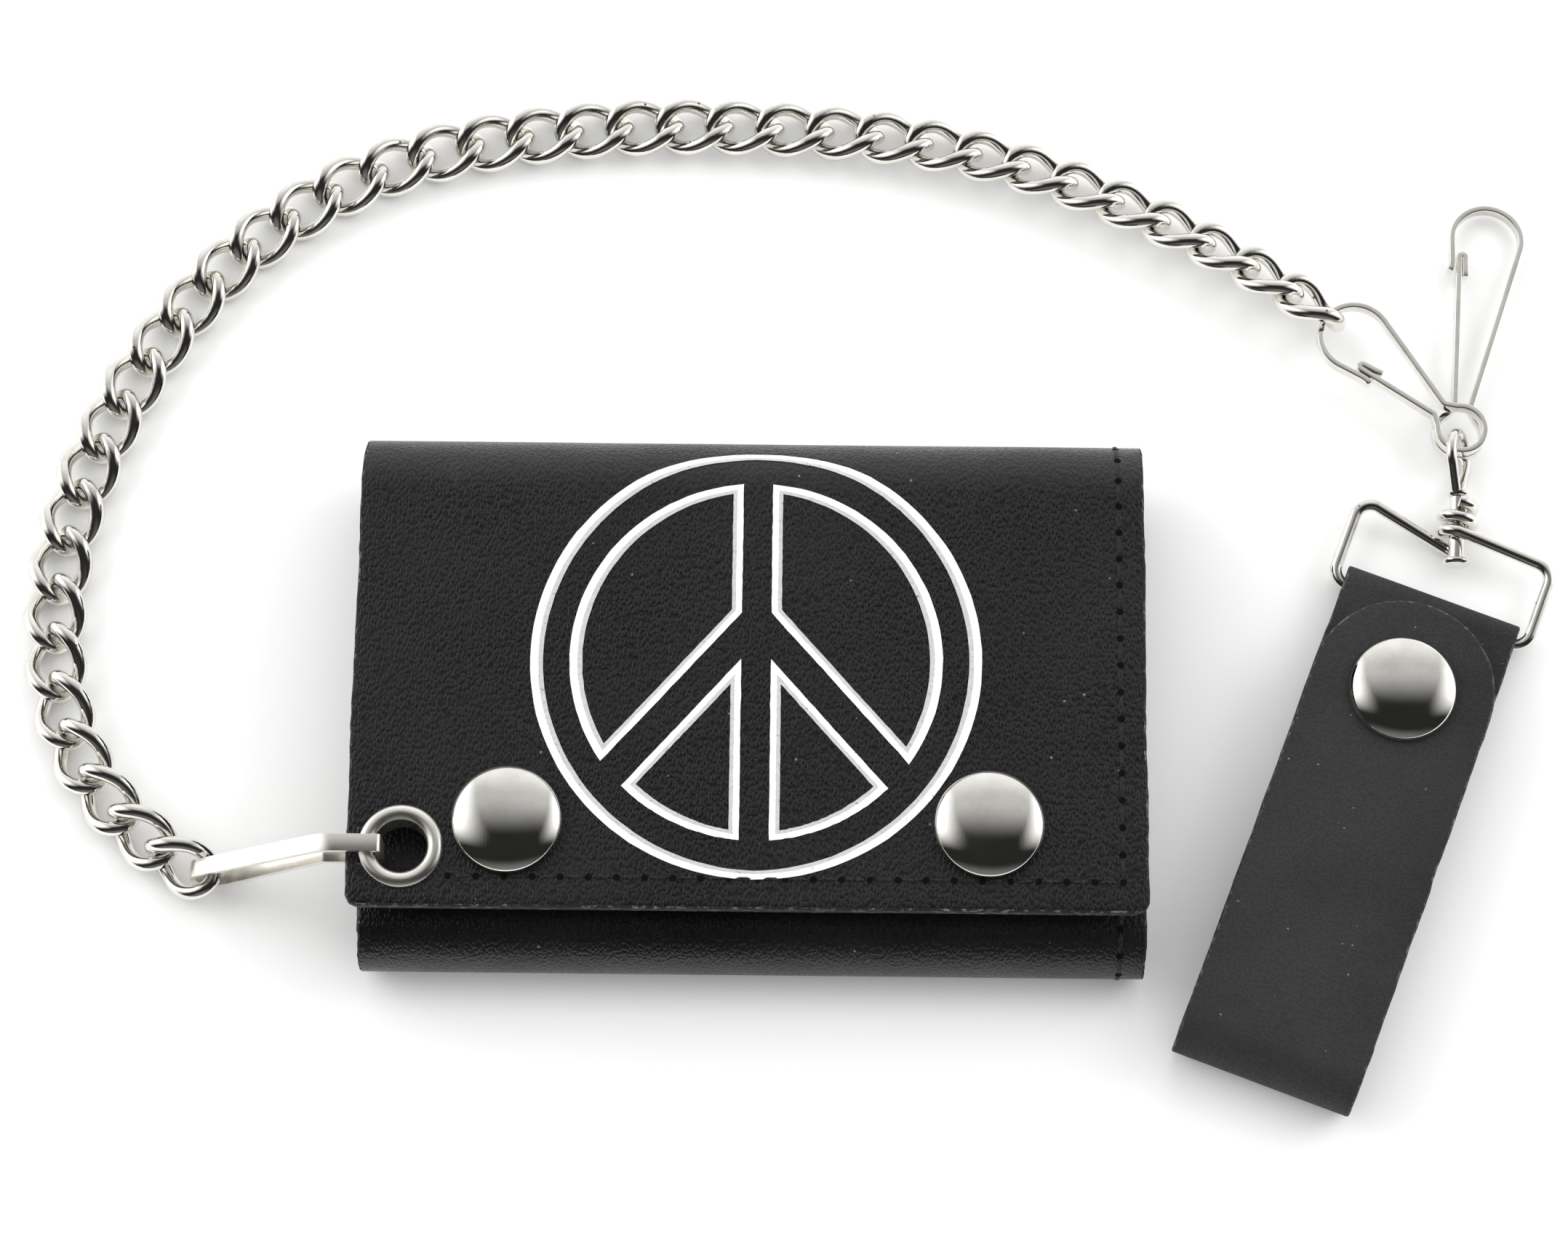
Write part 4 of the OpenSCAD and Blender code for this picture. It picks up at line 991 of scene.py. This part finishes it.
bm = bmesh.new()
row = rowAcross(bm, -strap["width"] / 2, strap["width"] / 2, strap["foldY"], halfStrap, cuts=27)
row = roundFold(bm, row, strap["foldY"], strap["foldR"], -pi, steps=20)
row = runOut(bm, row, (0, strap["tabTop"] - strap["foldY"], 0), steps=64)
r = strap["width"] / 2
for v in bm.verts:  # the tab's end is round
    u, t = abs(v.co.x), v.co.y - (strap["tabTop"] - r)
    if t > 0 and v.co.z > strap["foldR"]:
        k = max(u, t) / hypot(u, t) if u + t > 0 else 1
        v.co.x, v.co.y = v.co.x * k, strap["tabTop"] - r + t * k
strapSurface(bm, strap["frontWave"])
bmesh.ops.recalc_face_normals(bm, faces=bm.faces)
bmesh.ops.transform(bm, matrix=inStrap, verts=bm.verts)
piece = newPiece("strap_front", bm, [strapHide, strapEdge])
thicken(piece, strap["t"], 1, strap["worn"])
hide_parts("strap_fold", "strap_tab")
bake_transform(piece)
snapCap("cap_belt", "belt_snap_cap", "strap_tab",
        inStrap @ Vector((0, strap["snapY"], strap["closed"])), strap["t"])
print("strap made")


# CAD nodes that stay get their finish

linings = ["back_lining", "card_pocket_rear", "card_pocket_front", "flap_lining", "front_lining"]
fittings = ["grommet_washer", "belt_snap_socket", "belt_snap_stud", "belt_snap_post"]
for side in ("left", "right"):
    fittings += ["flap_snap_socket_" + side, "front_snap_stud_" + side, "front_snap_post_" + side]
for name in linings + fittings:
    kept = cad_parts[name]
    finish = innerHide if name in linings else steel
    if not kept.material_slots:
        kept.data.materials.append(finish)
    for s in kept.material_slots:
        s.material = finish
print("kept nodes dressed")


# floor, light and camera

floorMaterial, wire, shader = newMaterial("paleFloor")
shade = wire.noise(objectCoords(wire), 30.0, 4.0)
cloth = wire.blend(shade, (0.95, 0.95, 0.945, 1), (0.98, 0.98, 0.975, 1))
wire.feed(shader.inputs["Base Color"], cloth)
shader.inputs["Roughness"].default_value = 0.9
table = dict(size=2500, level=-0.05)
bm = bmesh.new()
bmesh.ops.create_grid(bm, x_segments=2, y_segments=2, size=table["size"])
bmesh.ops.translate(bm, verts=bm.verts, vec=(0, 0, table["level"]))
floor = newPiece("floor", bm, [floorMaterial])

room = dict(wall=(-0.03, 0.52, 0.02, 0.6), horizon=(0.5, 1.0, 0.0, 0.5), near=(-0.55, -1.0, 0.0, 0.17),
            left=(-0.2, -0.9, 0.0, 1.85), right=(0.4, 0.98, 0.0, 1.85), flankRise=(-0.36, 0.3),
            day=1.06, farSide=0.6)  # each fade: from, to, and its strengths there
world = bpy.data.worlds.new("studio")
scene.world = world
world.use_nodes = True
wire = Wiring(world.node_tree)
way = wire.node("ShaderNodeTexCoord").outputs["Generated"]
parts = wire.node("ShaderNodeSeparateXYZ", Vector=way)
wall = wire.fade(parts.outputs["Y"], *room["wall"])  # bright from above the table's far edge
horizon = wire.fade(parts.outputs["Y"], *room["horizon"])
near = wire.fade(parts.outputs["Y"], *room["near"])
flank = wire.maths("MAXIMUM", wire.fade(parts.outputs["X"], *room["left"]),
                   wire.fade(parts.outputs["X"], *room["right"]))
flank = wire.maths("MULTIPLY", flank, wire.fade(parts.outputs["Y"], *room["flankRise"]))
glow = wire.maths("MAXIMUM", wire.maths("ADD", wire.maths("ADD", wall, horizon), near), flank)
fromFar = wire.maths("MULTIPLY", parts.outputs["Y"], room["farSide"])
daylight = wire.maths("ADD", fromFar, room["day"])  # more of it from the far side
rays = wire.node("ShaderNodeLightPath").outputs
skyColour = wire.blend(rays["Is Camera Ray"], daylight, (room["day"],) * 3 + (1,))
skyColour = wire.blend(rays["Is Glossy Ray"], skyColour, glow)  # metal mirrors a dark, one-sided room
background = world.node_tree.nodes["Background"]
wire.feed(background.inputs["Color"], skyColour)
background.inputs["Strength"].default_value = 1.0


def softLamp(name, place, size, power):  # a window that faces the wallet
    data = bpy.data.lights.new(name, "AREA")
    data.shape = "RECTANGLE"
    data.size, data.size_y = size
    data.energy = power
    lamp = freshObject(name, data)
    lamp.location = place
    lamp.visible_glossy = False  # metal mirrors the soft room instead of hard panels
    lamp.rotation_euler = (-Vector(place)).to_track_quat("-Z", "Y").to_euler()


softLamp("keyWindow", place=(-1.0, 0.35, 0.8), size=(0.9, 0.8), power=4.5)
softLamp("fillWindow", place=(1.0, 0.35, 0.8), size=(0.7, 0.6), power=3.5)

shot = dict(place=(0.0077, -0.1724, 0.5895), forward=(-0.00529, 0.30286, -0.953), roll=-0.372,
            turn=1.0, lens=100.58)
cameraData = bpy.data.cameras.new("camera")
camera = freshObject("camera", cameraData)
fwd = Vector(shot["forward"]).normalized()
right = Vector((cos(radians(shot["turn"])), sin(radians(shot["turn"])), 0))
up = right.cross(fwd).normalized()
right = fwd.cross(up).normalized()
t = radians(shot["roll"])
xAxis, yAxis = right * cos(t) + up * sin(t), up * cos(t) - right * sin(t)
camera.matrix_world = basis(xAxis, yAxis, -fwd, Vector(shot["place"]))
cameraData.sensor_fit = "HORIZONTAL"
cameraData.sensor_width = 36.0
cameraData.lens = shot["lens"]
cameraData.clip_start = 0.01
scene.camera = camera
print("stage set")
